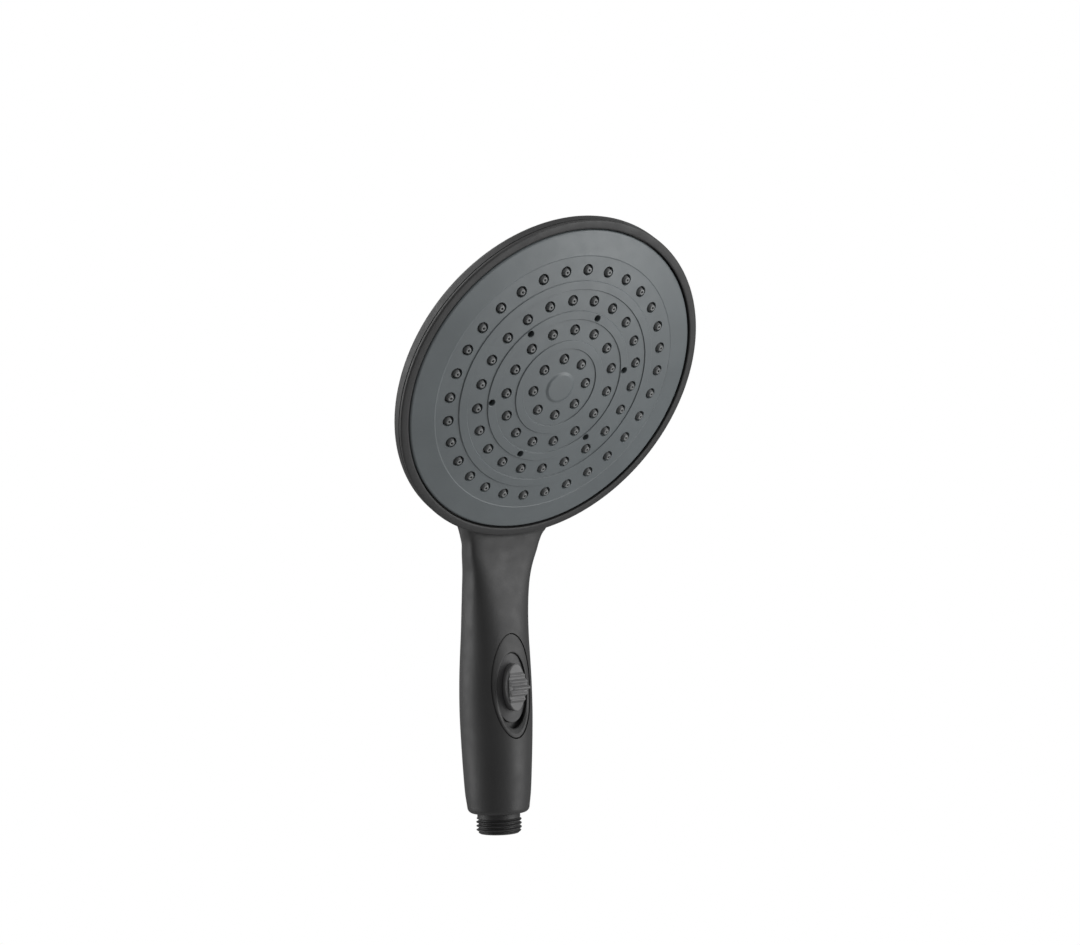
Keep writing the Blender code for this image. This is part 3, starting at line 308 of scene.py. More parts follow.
# ---- curves --------------------------------------------------------------------------------------
def smoothstep(t):
    t = np.clip(t, 0.0, 1.0)
    return t * t * (3 - 2 * t)


def through(values, steps, places):
    """Smooth curve through rows of numbers, with Catmull-Rom tangents on uneven places."""
    count = len(values)
    slopes = np.zeros_like(values)
    for i in range(count):
        a, b = max(i - 1, 0), min(i + 1, count - 1)
        slopes[i] = (values[b] - values[a]) / (places[b] - places[a])
    rows = []
    for i in range(count - 1):
        width = places[i + 1] - places[i]
        for k in range(steps):
            t = k / steps
            h00 = 2 * t ** 3 - 3 * t ** 2 + 1
            h10 = t ** 3 - 2 * t ** 2 + t
            h01 = -2 * t ** 3 + 3 * t ** 2
            h11 = t ** 3 - t ** 2
            rows.append(h00 * values[i] + h10 * width * slopes[i] + h01 * values[i + 1]
                        + h11 * width * slopes[i + 1])
    rows.append(values[-1])
    return np.array(rows)


def squared_ring(half_width, widest, front, back, squareness, sides):
    """Section with a round back and a squarer front, as points (across, depth)."""
    ring = []
    for i in range(sides):
        angle = 2 * math.pi * i / sides
        across, along = math.cos(angle), math.sin(angle)
        power = 2 / squareness if along < 0 else 1.0
        reach = (front - widest) if along < 0 else (back - widest)
        x = half_width * math.copysign(abs(across) ** power, across)
        ring.append((x, widest + reach * abs(along) ** power))
    return ring


def handle_front(x, z):
    """How far the handle's front stands before its axis, at a place on its surface."""
    shares = [row[0] for row in HANDLE_STATIONS]
    share = np.clip((z - SHOULDER) / HANDLE_LENGTH, 0.0, 0.99)
    half_width, widest, front, squareness = (
        np.interp(share, shares, [row[k] for row in HANDLE_STATIONS]) for k in (1, 2, 3, 5))
    across = np.clip(abs(x) / half_width, 0.0, 0.999)
    return widest + (front - widest) * (1 - across ** squareness) ** (1 / squareness)


def face_dome(radius):
    """Height of the spray face's dome, from the plane of its outer ring of nozzles."""
    return FACE_CROWN * (1 - (radius / OUTER_RING) ** 2)


def back_dome(radius):
    """Depth of the head's back."""
    return BACK_CROWN + (BACK_EDGE - BACK_CROWN) * (radius / BACK_RADIUS) ** 2


def ring_places(radius, count, start):
    """Even places on a ring, clockwise from an angle in degrees."""
    for i in range(count):
        angle = math.radians(start - 360 * i / count)
        yield radius * math.cos(angle), radius * math.sin(angle)


def nozzle_places():
    for i, (count, start) in enumerate(zip(RING_COUNTS, RING_STARTS)):
        yield from ring_places(RING_STEP * (i + 1), count, start)


def face_height(radius):
    """Front of the spray face: dome, raised centre, three bands and the plain sloping margin."""
    radius = np.asarray(radius, float)
    lip = MARGIN_LIP * smoothstep((radius - MARGIN_START + MARGIN_LIP_WIDTH) / MARGIN_LIP_WIDTH)
    margin = face_dome(MARGIN_START) + MARGIN_LIP + MARGIN_SLOPE * (radius - MARGIN_START)
    height = np.where(radius < MARGIN_START, face_dome(radius) + lip, margin)
    height = height + CENTRE_RISE * (1 - smoothstep((radius - CENTRE_EDGE) / CENTRE_WALL))
    for ring in range(1, len(RING_COUNTS)):
        inner = RING_STEP * ring + BAND_INSET
        outer = inner + BAND_WIDTH
        rise = smoothstep((radius - inner) / BAND_WALL)
        fall = smoothstep((radius - outer + BAND_WALL) / BAND_WALL)
        height = height + BAND_RISE * (rise - fall)
    return height


def face_slope(radius):
    """Slope of the spray face's front along its radius."""
    reach = 0.02
    return (face_height(radius + reach) - face_height(radius - reach)) / (2 * reach)


def local_frame(x, y):
    """Matrix that stands on the spray face at a place, in head coordinates and metres."""
    radius = math.hypot(x, y)
    slope = -2 * FACE_CROWN * radius / OUTER_RING ** 2
    normal = Vector((-slope * x / radius, -slope * y / radius, 1.0)).normalized()
    turn = Vector((0.0, 0.0, 1.0)).rotation_difference(normal).to_matrix().to_4x4()
    return Matrix.Translation(Vector((x, y, face_dome(radius))) * MM) @ turn


# ---- materials -----------------------------------------------------------------------------------
def plastic(name, colour, roughness, grain, depth, tint=0.05, rough_change=0.05, specular=0.5):
    """Moulded plastic: fine texture, slow colour drift and uneven gloss, all from noise in metres."""
    material = bpy.data.materials.new(name)
    material.use_nodes = True
    tree = material.node_tree
    shader = tree.nodes["Principled BSDF"]
    shader.inputs["Specular IOR Level"].default_value = specular
    where = tree.nodes.new("ShaderNodeTexCoord")

    def noise(scale, detail):
        node = tree.nodes.new("ShaderNodeTexNoise")
        node.inputs["Scale"].default_value = scale
        node.inputs["Detail"].default_value = detail
        tree.links.new(where.outputs["Object"], node.inputs["Vector"])
        return node

    drift = noise(45.0, 3.0)
    ramp = tree.nodes.new("ShaderNodeValToRGB")
    ramp.color_ramp.elements[0].position = 0.3
    ramp.color_ramp.elements[1].position = 0.7
    ramp.color_ramp.elements[0].color = (*[c * (1 - tint) for c in colour], 1.0)
    ramp.color_ramp.elements[1].color = (*[c * (1 + tint) for c in colour], 1.0)
    tree.links.new(drift.outputs["Fac"], ramp.inputs["Fac"])
    tree.links.new(ramp.outputs["Color"], shader.inputs["Base Color"])
    gloss = noise(160.0, 4.0)
    spread = tree.nodes.new("ShaderNodeMapRange")
    spread.inputs["From Min"].default_value = 0.3
    spread.inputs["From Max"].default_value = 0.7
    spread.inputs["To Min"].default_value = roughness - rough_change
    spread.inputs["To Max"].default_value = roughness + rough_change
    tree.links.new(gloss.outputs["Fac"], spread.inputs["Value"])
    tree.links.new(spread.outputs["Result"], shader.inputs["Roughness"])
    fine = noise(1.0 / (grain * MM), 2.0)
    bump = tree.nodes.new("ShaderNodeBump")
    bump.inputs["Strength"].default_value = 0.6
    bump.inputs["Distance"].default_value = depth * MM
    tree.links.new(fine.outputs["Fac"], bump.inputs["Height"])
    tree.links.new(bump.outputs["Normal"], shader.inputs["Normal"])
    return material


BLACK = plastic("satin_black", (0.0200, 0.0200, 0.0203), 0.53, 0.22, 0.010, specular=0.36)
FACE = plastic("face_grey", (0.082, 0.094, 0.099), 0.46, 0.30, 0.010, 0.06, 0.04)
SWITCH = plastic("switch_grey", (0.088, 0.088, 0.089), 0.55, 0.18, 0.014)
# the switch's own light grey, darkened as painted shade for the plate that lies in the shadow of the
# knob and the window's lip
PLATE_PAINTED_SHADE = plastic("switch_grey_painted_shade", (0.034, 0.034, 0.035), 0.55, 0.18, 0.014, specular=0.4)
SILICONE = plastic("nozzle_silicone", (0.112, 0.116, 0.117), 0.5, 0.12, 0.008, 0.1)
INNER = plastic("inner_plastic", (0.55, 0.55, 0.53), 0.4, 0.3, 0.01)
SEAL = plastic("seal_rubber", (0.015, 0.015, 0.015), 0.7, 0.1, 0.01)
STEEL = plastic("steel_parts", (0.6, 0.6, 0.6), 0.3, 0.1, 0.004)
STEEL.node_tree.nodes["Principled BSDF"].inputs["Metallic"].default_value = 1.0


# ---- handle and head shell -----------------------------------------------------------------------
def body_rings(sides):
    """Sections of the handle, and of the spine that it runs into behind the head."""
    rings = []
    for share, half_width, widest, front, back, squareness in HANDLE_STATIONS:
        height = SHOULDER + share * HANDLE_LENGTH
        flat = squared_ring(half_width, -widest, -front, back, squareness, sides)
        rings.append([(x, y, height) for x, y in flat])
    for inside, half_width, widest, front, back, squareness in SPINE_STATIONS:
        flat = squared_ring(half_width, -widest, -front, -back, squareness, sides)
        up = (inside - HEAD_RADIUS) * DISC_UP
        middle = HEAD_CENTRE + up
        rings.append([tuple(middle + Vector((x, 0, 0)) - depth * FACE_NORMAL) for x, depth in flat])
    return np.array(rings)


def body_loft():
    """Smooth skin over the sections."""
    rings = body_rings(LOFT_SIDES)
    centres = rings.mean(axis=1)
    places = np.concatenate([[0.0], np.cumsum(np.linalg.norm(np.diff(centres, axis=0), axis=1))])
    fine = through(rings.reshape(len(rings), -1), 9, places).reshape(-1, LOFT_SIDES, 3)
    return skin([list(map(tuple, ring)) for ring in fine])


def bezier(start, lead, trail, end, t):
    """Point on a cubic curve."""
    near = (1 - t) ** 3 * start + 3 * (1 - t) ** 2 * t * lead
    return near + 3 * (1 - t) * t ** 2 * trail + t ** 3 * end


def shell_profile():
    """Back of the head from its middle to its side, as (radius, depth)."""
    shoulder, pull, steps = 67.0, 6.5, 16
    profile = [(r, back_dome(r)) for r in np.linspace(0.0, shoulder, 30)]
    start = Vector((shoulder, back_dome(shoulder)))
    slope = 2 * (BACK_EDGE - BACK_CROWN) * shoulder / BACK_RADIUS ** 2
    lead = start + Vector((1.0, slope)) * pull
    end = Vector((HEAD_RADIUS, SIDE_START))
    trail = end + Vector((0.0, -3.4))
    for i in range(1, steps + 1):
        point = bezier(start, lead, trail, end, i / steps)
        profile.append((point.x, point.y))
    return profile


def profile_distance(points, profile):
    """Signed distance to the head's solid of revolution, and its gradient, in head coordinates."""
    radius = np.hypot(points[:, 0], points[:, 1])
    flat = np.stack([radius, points[:, 2]], axis=1)
    line = np.array(profile)
    best = np.full(len(points), 1e9)
    nearest = np.zeros_like(flat)
    for a, b in zip(line, line[1:]):
        along = b - a
        t = np.clip(((flat - a) @ along) / (along @ along), 0.0, 1.0)
        close = a + t[:, None] * along
        gap = np.linalg.norm(flat - close, axis=1)
        nearer = gap < best
        best[nearer] = gap[nearer]
        nearest[nearer] = close[nearer]
    inside = (radius < HEAD_RADIUS) & (flat[:, 1] > np.interp(radius, line[:, 0], line[:, 1]))
    away = flat - nearest
    away /= np.maximum(best, 1e-6)[:, None]
    sign = np.where(inside, -1.0, 1.0)
    away *= sign[:, None]
    unit = points[:, :2] / np.maximum(radius, 1e-6)[:, None]
    gradient = np.stack([unit[:, 0] * away[:, 0], unit[:, 1] * away[:, 0], away[:, 1]], axis=1)
    return sign * best, gradient


def fair_body(points, tree):
    """Move points onto the blended surface of handle and head."""
    turn = np.array(HEAD, float)
    turn[:3, 3] /= MM
    profile = shell_profile() + [(HEAD_RADIUS, BLANK_FRONT)]
    for _ in range(3):
        local = (points - turn[:3, 3]) @ turn[:3, :3]
        head, head_slope = profile_distance(local, profile)
        head_slope = head_slope @ turn[:3, :3].T
        loft = np.zeros(len(points))
        loft_slope = np.zeros_like(points)
        for i, point in enumerate(points):
            close, normal, _, gap = tree.find_nearest(Vector(point))
            away = Vector(point) - close
            side = 1.0 if away.dot(normal) >= 0 else -1.0
            loft[i] = side * gap
            loft_slope[i] = (away * side / gap) if gap > 1e-4 else normal
        reach = BLEND_EDGE + BLEND_BACK * smoothstep((-12.0 - local[:, 2]) / 8.0)
        share = np.clip(0.5 + 0.5 * (loft - head) / reach, 0.0, 1.0)
        total = loft * (1 - share) + head * share - reach * share * (1 - share)
        slope = loft_slope * (1 - share)[:, None] + head_slope * share[:, None]
        slope /= np.maximum(np.linalg.norm(slope, axis=1), 1e-6)[:, None]
        inside = (local[:, 2] > -4.4) & (np.hypot(local[:, 0], local[:, 1]) < HEAD_RADIUS - 0.4)
        total = np.where(inside, 0.0, np.clip(total, -3.0, 3.0))
        points = points - total[:, None] * slope
    return points


def relax(mesh, rounds):
    """Even out a mesh a little, without shrinking it much."""
    count = len(mesh.vertices)
    points = np.zeros(count * 3)
    mesh.vertices.foreach_get("co", points)
    points = points.reshape(-1, 3)
    edges = np.zeros(len(mesh.edges) * 2, np.int64)
    mesh.edges.foreach_get("vertices", edges)
    edges = edges.reshape(-1, 2)
    degree = np.bincount(edges.ravel(), minlength=count)[:, None]
    for weight in (0.5, -0.52) * rounds:
        total = np.zeros_like(points)
        np.add.at(total, edges[:, 0], points[edges[:, 1]])
        np.add.at(total, edges[:, 1], points[edges[:, 0]])
        points = points + weight * (total / degree - points)
    return points


def make_shell():
    verts, faces = body_loft()
    tree = BVHTree.FromPolygons([Vector(v) for v in verts], faces)
    shell = outward(make_mesh("shower_shell", verts, faces, BLACK, sharp=0))
    blank = shell_profile() + [(HEAD_RADIUS, BLANK_FRONT), (0.0, BLANK_FRONT)]
    head = turned("head_blank", blank, 256, None, HEAD, 0)
    join(shell, head)
    modifier = shell.modifiers.new("fair", "REMESH")
    modifier.mode = "VOXEL"
    modifier.voxel_size = VOXEL * MM
    modifier.use_smooth_shade = True
    apply_modifiers(shell)
    mesh = shell.data
    points = relax(mesh, 3) / MM
    points = fair_body(points, tree)
    mesh.vertices.foreach_set("co", (points * MM).ravel())
    mesh.vertices.foreach_set("co", relax(mesh, 2).ravel())
    mesh.update()
    cut(shell, shell_cutters())
    mesh = shell.data
    mesh.shade_smooth()
    mesh.set_sharp_from_angle(angle=math.radians(32))
    side_normals(mesh)
    if not mesh.materials:
        mesh.materials.append(BLACK)
    return finish_piece(shell, "handle", "black_body", "handle_body")


def side_normals(mesh):
    """Point the normals of the head's straight side square outwards, so that it shades evenly."""
    turn = np.array(HEAD, float)[:3, :3]
    count = len(mesh.loops)
    normals = np.zeros(count * 3)
    mesh.corner_normals.foreach_get("vector", normals)
    normals = normals.reshape(-1, 3)
    corners = np.zeros(count, np.int64)
    mesh.loops.foreach_get("vertex_index", corners)
    points = np.zeros(len(mesh.vertices) * 3)
    mesh.vertices.foreach_get("co", points)
    local = (points.reshape(-1, 3) - np.array(HEAD, float)[:3, 3]) @ turn / MM
    local = local[corners]
    radius = np.hypot(local[:, 0], local[:, 1])
    outwards = np.stack([local[:, 0] / radius, local[:, 1] / radius, np.zeros(count)], axis=1) @ turn.T
    weight = smoothstep((local[:, 2] + 9.5) / 2.0)
    side = (radius > HEAD_RADIUS - 1.0) & ((normals * outwards).sum(axis=1) > 0.8)
    weight = np.where(side, weight, 0.0)[:, None]
    normals = normals * (1 - weight) + outwards * weight
    normals /= np.linalg.norm(normals, axis=1)[:, None]
    mesh.normals_split_custom_set([tuple(n) for n in normals])


def join(first, second):
    """Add the second mesh to the first and remove its object."""
    a, b = first.data, second.data
    verts = [v.co[:] for v in a.vertices] + [v.co[:] for v in b.vertices]
    start = len(a.vertices)
    faces = [tuple(p.vertices) for p in a.polygons]
    faces += [tuple(start + i for i in p.vertices) for p in b.polygons]
    mesh = bpy.data.meshes.new(first.name)
    mesh.from_pydata(verts, [], faces)
    for material in a.materials:
        mesh.materials.append(material)
    first.data = mesh
    bpy.data.objects.remove(second)


def oval_rings(sizes, sides):
    """Ovals in the X-Z plane; sizes are (half width, half height, centre height, stretch, front)."""
    rings = []
    for half_width, half_height, height, stretch, front in sizes:
        ring = []
        for i in range(sides):
            angle = 2 * math.pi * i / sides
            rise = half_height * math.sin(angle)
            rise += math.copysign(stretch, rise) if abs(rise) > 0.01 else 0.0
            ring.append((half_width * math.cos(angle), -front, height + rise))
        rings.append(ring)
    return rings


def tube_points():
    """Way of the water tube, from the valve up the neck and into the head."""
    start = Vector((0.0, 0.0, 91.0))
    end = HEAD_CENTRE - 64.885 * DISC_UP - 13.9 * FACE_NORMAL
    foot = start + Vector((0.0, 0.0, 6.0))
    top = end - DISC_UP * 7.3
    reach = (top - foot).length * 0.4
    path = [start]
    for i in range(17):
        path.append(bezier(foot, foot + Vector((0, 0, reach)), top - DISC_UP * reach, top, i / 16))
    path.append(end + DISC_UP * 8.0)
    return path


def swept(name, path, radius, sides):
    """Round bar along a path in the Y-Z plane."""
    rings = []
    for i, point in enumerate(path):
        ahead = path[min(i + 1, len(path) - 1)] - path[max(i - 1, 0)]
        side = Vector((1.0, 0.0, 0.0))
        normal = ahead.normalized().cross(side)
        rings.append([tuple(point + radius * (math.cos(2 * math.pi * k / sides) * side
                                              + math.sin(2 * math.pi * k / sides) * normal))
                      for k in range(sides)])
    return outward(make_mesh(name, *skin(rings), sharp=0))


def port_rings():
    """Hole for the tube's end through the head's foot, as rings along the head's own Y axis."""
    rings = []
    for distance, radius in ((71.0, 6.8), (57.0, 6.8), (56.9, 4.3), (40.0, 4.3)):
        ring = []
        for k in range(32):
            angle = 2 * math.pi * k / 32
            ring.append((radius * math.cos(angle), -distance, -13.9 + radius * math.sin(angle)))
        rings.append(ring)
    return rings


def shell_cutters():
    """Front opening, hollow of the head, bore of the handle, tube's way and the switch's pocket."""
    edge = HEAD_RADIUS + 0.25
    hollow = [(r, back_dome(r) + BACK_WALL) for r in np.linspace(0.0, 70.0, 12)]
    hollow += [(75.6, -8.5), (75.6, SHELL_FRONT), (78.0, SHELL_FRONT), (edge, SHELL_FRONT - 0.2)]
    hollow += [(edge, 12.0), (0.0, 12.0)]
    head = turned("cut_head", hollow, 256, None, HEAD, 0)
    bore = [(0.0, 7.0), (HANDLE_BORE, 7.0), (HANDLE_BORE, 90.2), (7.8, 90.2), (7.8, 97.1), (0.0, 97.1)]
    handle = turned("cut_bore", bore, 96, None, WORLD, 0)
    way = swept("cut_way", tube_points(), 4.0, 32)
    port = outward(make_mesh("cut_port", *skin(port_rings()), matrix=HEAD, sharp=0))
    size = (BEZEL_HALF_WIDTH + 0.3, BEZEL_HALF_HEIGHT + 0.3, BEZEL_Z, 0.0)
    pocket = oval_rings([(*size, 10.4), (*size, 24.0)], 128)
    pocket = outward(make_mesh("cut_pocket", *skin(pocket), sharp=0))
    return [head, handle, way, port, pocket]


# ---- rim ring ------------------------------------------------------------------------------------
def make_rim():
    """Rim ring with a rounded outer edge, standing proud of the shell's front."""
    profile = [(RIM_INNER, -3.45), (RIM_INNER, -6.3), (71.3, -6.3), (71.3, -8.2), (75.3, -8.2)]
    profile += [(75.3, RIM_BACK)]
    profile += [(78.40, RIM_BACK), (78.55, -4.55), (HEAD_RADIUS, -4.4), (HEAD_RADIUS, -3.82)]
    rounding = 0.85
    for i in range(1, 7):
        angle = i / 6 * math.radians(82)
        across = HEAD_RADIUS - rounding + rounding * math.cos(angle)
        profile.append((across, -3.82 + rounding * math.sin(angle)))
    profile += [(76.6, -2.86), (75.55, -2.80)]
    for i in range(1, 5):
        angle = math.radians(90 + 22.5 * i)
        profile.append((75.05 + 0.35 * math.cos(angle), -3.12 + 0.32 * math.sin(angle)))
    rim = turned("rim_band", profile, 320, BLACK, HEAD, 40)
    return finish_piece(rim, "handle", "black_body", "rim_ring")


# ---- spray face ----------------------------------------------------------------------------------
def face_radii():
    """Radii of the face's rows of points, closer together on its steps."""
    marks = [0.0]
    marks += list(np.arange(1.5, 6.0, 1.5))
    marks += list(np.linspace(CENTRE_EDGE, CENTRE_EDGE + CENTRE_WALL, 9))
    for ring in range(1, len(RING_COUNTS)):
        inner = RING_STEP * ring + BAND_INSET
        outer = inner + BAND_WIDTH
        marks += list(np.linspace(marks[-1] + 1.2, inner - 1.0, 6))
        marks += [inner - 0.1]
        marks += list(np.linspace(inner, inner + 0.4, 6))
        marks += list(np.linspace(inner + 0.8, outer - 0.8, 4))
        marks += list(np.linspace(outer - 0.4, outer, 6))
        marks += [outer + 0.1]
    marks += list(np.linspace(marks[-1] + 1.0, MARGIN_START - 1.2, 6))
    marks += list(np.linspace(MARGIN_START - MARGIN_LIP_WIDTH, MARGIN_START, 6))
    marks += list(np.linspace(MARGIN_START + 0.1, 73.0, 8))
    return np.array(marks)


def hole_cutter(x, y, radius, lift):
    """Straight hole with a small rounded lip, standing square on the dome."""
    lip, drop = 0.16, 0.3
    outline = [(0.0, -6.0), (radius, -6.0), (radius, lift - drop)]
    for i in range(1, 5):
        angle = math.radians(180 - 20 * i)
        rise = drop * math.sin(angle) / math.sin(math.radians(100))
        outline.append((radius + lip + lip * math.cos(angle), lift - drop + rise))
    outline += [(radius + 0.45, lift + 0.5), (radius + 0.5, lift + 1.2), (0.0, lift + 1.2)]
    return skin(turned_rings(outline, 40), closed=True), local_frame(x, y)


def make_face():
    """Spray face with its bands, rim flange, centre boss and holes."""
    radii = face_radii()
    profile = list(zip(radii, face_height(radii)))
    edge, inside = FACE_RADIUS, FACE_RADIUS - 2.3
    profile += [(edge - 0.55, -3.10), (edge - 0.2, -3.35), (edge, -3.75), (edge, -6.0), (inside, -6.0)]
    profile += [(inside, face_dome(inside) - FACE_WALL)]
    profile += [(r, face_dome(r) - FACE_WALL) for r in np.linspace(64.0, 4.2, 14)]
    profile += [(4.2, -6.4), (1.8, -6.4), (1.8, 0.5), (0.0, 0.5)]
    face = turned("spray_face", profile, 288, FACE, HEAD, 0)
    verts, faces = [], []
    for x, y in nozzle_places():
        add_shape(verts, faces, *hole_cutter(x, y, NOZZLE_HOLE, 0.0))
    for x, y in ring_places(JET_RADIUS, JET_COUNT, JET_START):
        add_shape(verts, faces, *hole_cutter(x, y, JET_HOLE, 0.4))
    holes = outward(make_mesh("cut_holes", verts, faces, None, HEAD, 0))
    cut(face, [holes])
    mesh = face.data
    mesh.shade_smooth()
    mesh.set_sharp_from_angle(angle=math.radians(35))
    face_normals(mesh)
    return finish_piece(face, "handle", "face_grey", "faceplate")


def add_shape(verts, faces, shape, matrix):
    """Append a shape in millimetres, placed by a matrix in metres."""
    start = len(verts)
    turn = np.array(matrix, float)
    points = np.array(shape[0]) @ turn[:3, :3].T + turn[:3, 3] / MM
    verts.extend(map(tuple, points))
    faces.extend(tuple(start + i for i in face) for face in shape[1])


def face_normals(mesh):
    """Give the spray face's front the normals of its true curve, so that the holes leave no marks."""
    turn = np.array(HEAD, float)
    points = np.zeros(len(mesh.vertices) * 3)
    mesh.vertices.foreach_get("co", points)
    local = (points.reshape(-1, 3) - turn[:3, 3]) @ turn[:3, :3] / MM
    radius = np.maximum(np.hypot(local[:, 0], local[:, 1]), 1e-4)
    slope = face_slope(radius)
    across = [-slope * local[:, 0] / radius, -slope * local[:, 1] / radius]
    normal = np.stack([*across, np.ones(len(local))], axis=1)
    normal /= np.linalg.norm(normal, axis=1)[:, None]
    on_front = (abs(local[:, 2] - face_height(radius)) < 0.03) & (radius < 73.2)
    normal = normal @ turn[:3, :3].T
    wanted = np.zeros((len(mesh.loops), 3))
    for polygon in mesh.polygons:
        corners = [mesh.loops[i].vertex_index for i in polygon.loop_indices]
        if all(on_front[c] for c in corners):
            for i, c in zip(polygon.loop_indices, corners):
                wanted[i] = normal[c]
    mesh.normals_split_custom_set(wanted.tolist())


def make_nozzles():
    """Silicone mat with a tapered, round-lipped nozzle in each hole of the face."""
    tip = [(2.0, -3.4), (1.95, -2.2), (1.66, -0.3), (1.38, 0.66), (1.30, 0.88), (1.16, 0.99)]
    tip += [(0.98, 1.02), (0.60, 1.02), (0.52, 0.98), (0.47, 0.86), (0.44, 0.60), (0.44, -0.8)]
    tip += [(0.0, -0.8), (0.0, -3.4)]
    shape = skin(turned_rings(tip, 28), closed=True)
    verts, faces = [], []
    for x, y in nozzle_places():
        add_shape(verts, faces, shape, local_frame(x, y))
    radii = np.linspace(4.5, 60.96, 20)
    sheet = [(r, face_dome(r) - 2.7) for r in radii]
    sheet += [(r, face_dome(r) - 4.3) for r in radii[::-1]]
    add_shape(verts, faces, skin(turned_rings(sheet, 128), closed=True), WORLD)
    mat = outward(make_mesh("silicone_nozzles", verts, faces, SILICONE, HEAD, 50))
    return finish_piece(mat, "handle", "nozzle_silicone", "nozzle_mat")


# ---- thumb switch --------------------------------------------------------------------------------
def ride_ring(half_width, half_height, height, drop, dip=0.0, sides=144):
    """Oval line that follows the handle's front surface, sunk by drop, and by dip more at its foot."""
    ring = []
    for i in range(sides):
        angle = 2 * math.pi * i / sides
        x, z = half_width * math.cos(angle), height + half_height * math.sin(angle)
        sunk = drop + dip * max(0.0, -math.sin(angle)) ** 2
        ring.append((x, -float(handle_front(x, z)) + sunk, z))
    return ring


def flat_ring(half_width, half_height, height, front, sides=144):
    """Oval line in one plane."""
    return oval_rings([(half_width, half_height, height, 0.0, front)], sides)[0]


def bow(x):
    """How far the switch plate bends back towards its sides."""
    return PLATE_BOW * (x / PLATE_HALF_WIDTH) ** 2


def bowed_oval(half_width, half_height, height, stretch, back, front, edge=0.0, sides=96):
    """Oval plate bent round the handle's axis, with rounded front edges."""
    levels = [(share, 0.0, back) for share in (0.02, 0.25, 0.5, 0.75, 1.0)]
    levels.append((1.0, 0.0, front - edge))
    for i in range(1, 5):
        angle = math.radians(22.5 * i)
        levels.append((1.0, edge * (1 - math.cos(angle)), front - edge + edge * math.sin(angle)))
    levels += [(share, edge, front) for share in (0.75, 0.5, 0.25, 0.02)]
    rings = []
    for share, inset, depth in levels if edge else levels[:6] + levels[-4:]:
        width, rise = (half_width - inset) * share, (half_height - inset) * share
        ring = oval_rings([(width, rise, height, stretch * share, depth)], sides)[0]
        rings.append([(x, y + bow(x), z) for x, y, z in ring])
    return skin(rings)


def pocket_floor(side):
    """Dark floor that closes one end of the window behind the sliding plate."""
    front, thickness, deepest = 11.7, 0.4, 10.45
    inner = WINDOW_Z + side * 10.2
    rings = []
    for x in np.linspace(-8.0, 8.0, 17):
        outer = WINDOW_Z + side * 19.6 * math.sqrt(1 - (x / 9.4) ** 2)
        near, far = front - bow(x), max(front - thickness - bow(x), deepest)
        rings.append([(x, -far, outer), (x, -near, outer), (x, -near, inner), (x, -far, inner)])
    return outward(make_mesh("pocket_floor", *skin(rings), sharp=0))


def bezel_rings():
    """Section of the switch's surround, from its back over the front and into the window."""
    outer = (BEZEL_HALF_WIDTH, BEZEL_HALF_HEIGHT, BEZEL_Z)
    window = (WINDOW_HALF_WIDTH, WINDOW_HALF_HEIGHT, WINDOW_Z)
    crest, brink = (10.1, 23.4, BEZEL_Z), (8.7, 17.8, WINDOW_Z)
    sink, dip = 0.2, 1.1
    rings = [flat_ring(*outer, 11.2), ride_ring(*outer, 0.75), ride_ring(10.53, 23.83, BEZEL_Z, 0.42)]
    rings += [ride_ring(10.36, 23.66, BEZEL_Z, 0.26), ride_ring(*crest, 0.22)]
    for share in (0.2, 0.35, 0.45, 0.55, 0.7, 0.85, 0.95):
        middle = [a + (b - a) * share for a, b in zip(crest, brink)]
        rings.append(ride_ring(*middle, 0.22 + sink * share, dip * max(0.0, share - 0.4) / 0.6))
    rings += [ride_ring(8.62, 17.72, WINDOW_Z, 0.5, dip), ride_ring(8.42, 17.52, WINDOW_Z, 0.62, dip)]
    rings += [ride_ring(8.32, 17.42, WINDOW_Z, 0.85, dip), flat_ring(*window, 11.9)]
    rings += [flat_ring(*window, 11.2)]
    return rings


def make_bezel():
    """Oval surround of the thumb switch, with room for its plate and a dark floor at both ends."""
    bezel = outward(make_mesh("switch_surround", *skin(bezel_rings(), closed=True), BLACK, sharp=40))
    width, rise = PLATE_HALF_WIDTH + PLATE_ROOM, PLATE_HALF_HEIGHT + PLATE_ROOM
    room = bowed_oval(width, rise, PLATE_Z, SLIDER_TRAVEL, 10.0, PLATE_FRONT + PLATE_ROOM)
    cut(bezel, [outward(make_mesh("cut_room", *room, sharp=0))])
    for side in (-1, 1):
        join(bezel, pocket_floor(side))
    bezel.data.shade_smooth()
    bezel.data.set_sharp_from_angle(angle=math.radians(40))
    return finish_piece(bezel, "handle", "black_body", "switch_bezel")


def rounded_oval(half_width, half_height, height, back, front, edge, sides=96):
    """Oval plate with rounded front edges."""
    sizes = [(half_width, half_height, height, 0.0, back)]
    sizes.append((half_width, half_height, height, 0.0, front - edge))
    for i in range(1, 6):
        angle = math.radians(18 * i)
        inset = edge * (1 - math.cos(angle))
        rise = front - edge + edge * math.sin(angle)
        sizes.append((half_width - inset, half_height - inset, height, 0.0, rise))
    return skin(oval_rings(sizes, sides))


def pegs(name, radius, back, front):
    """Two round pegs between plate and knob, one above and one below the middle."""
    things = []
    for side in (-1, 1):
        size = (radius, radius, SLIDER_Z + PEG_OFFSET * side, 0.0)
        rings = oval_rings([(*size, back), (*size, front)], 32)
        things.append(outward(make_mesh(name, *skin(rings), sharp=0)))
    return things


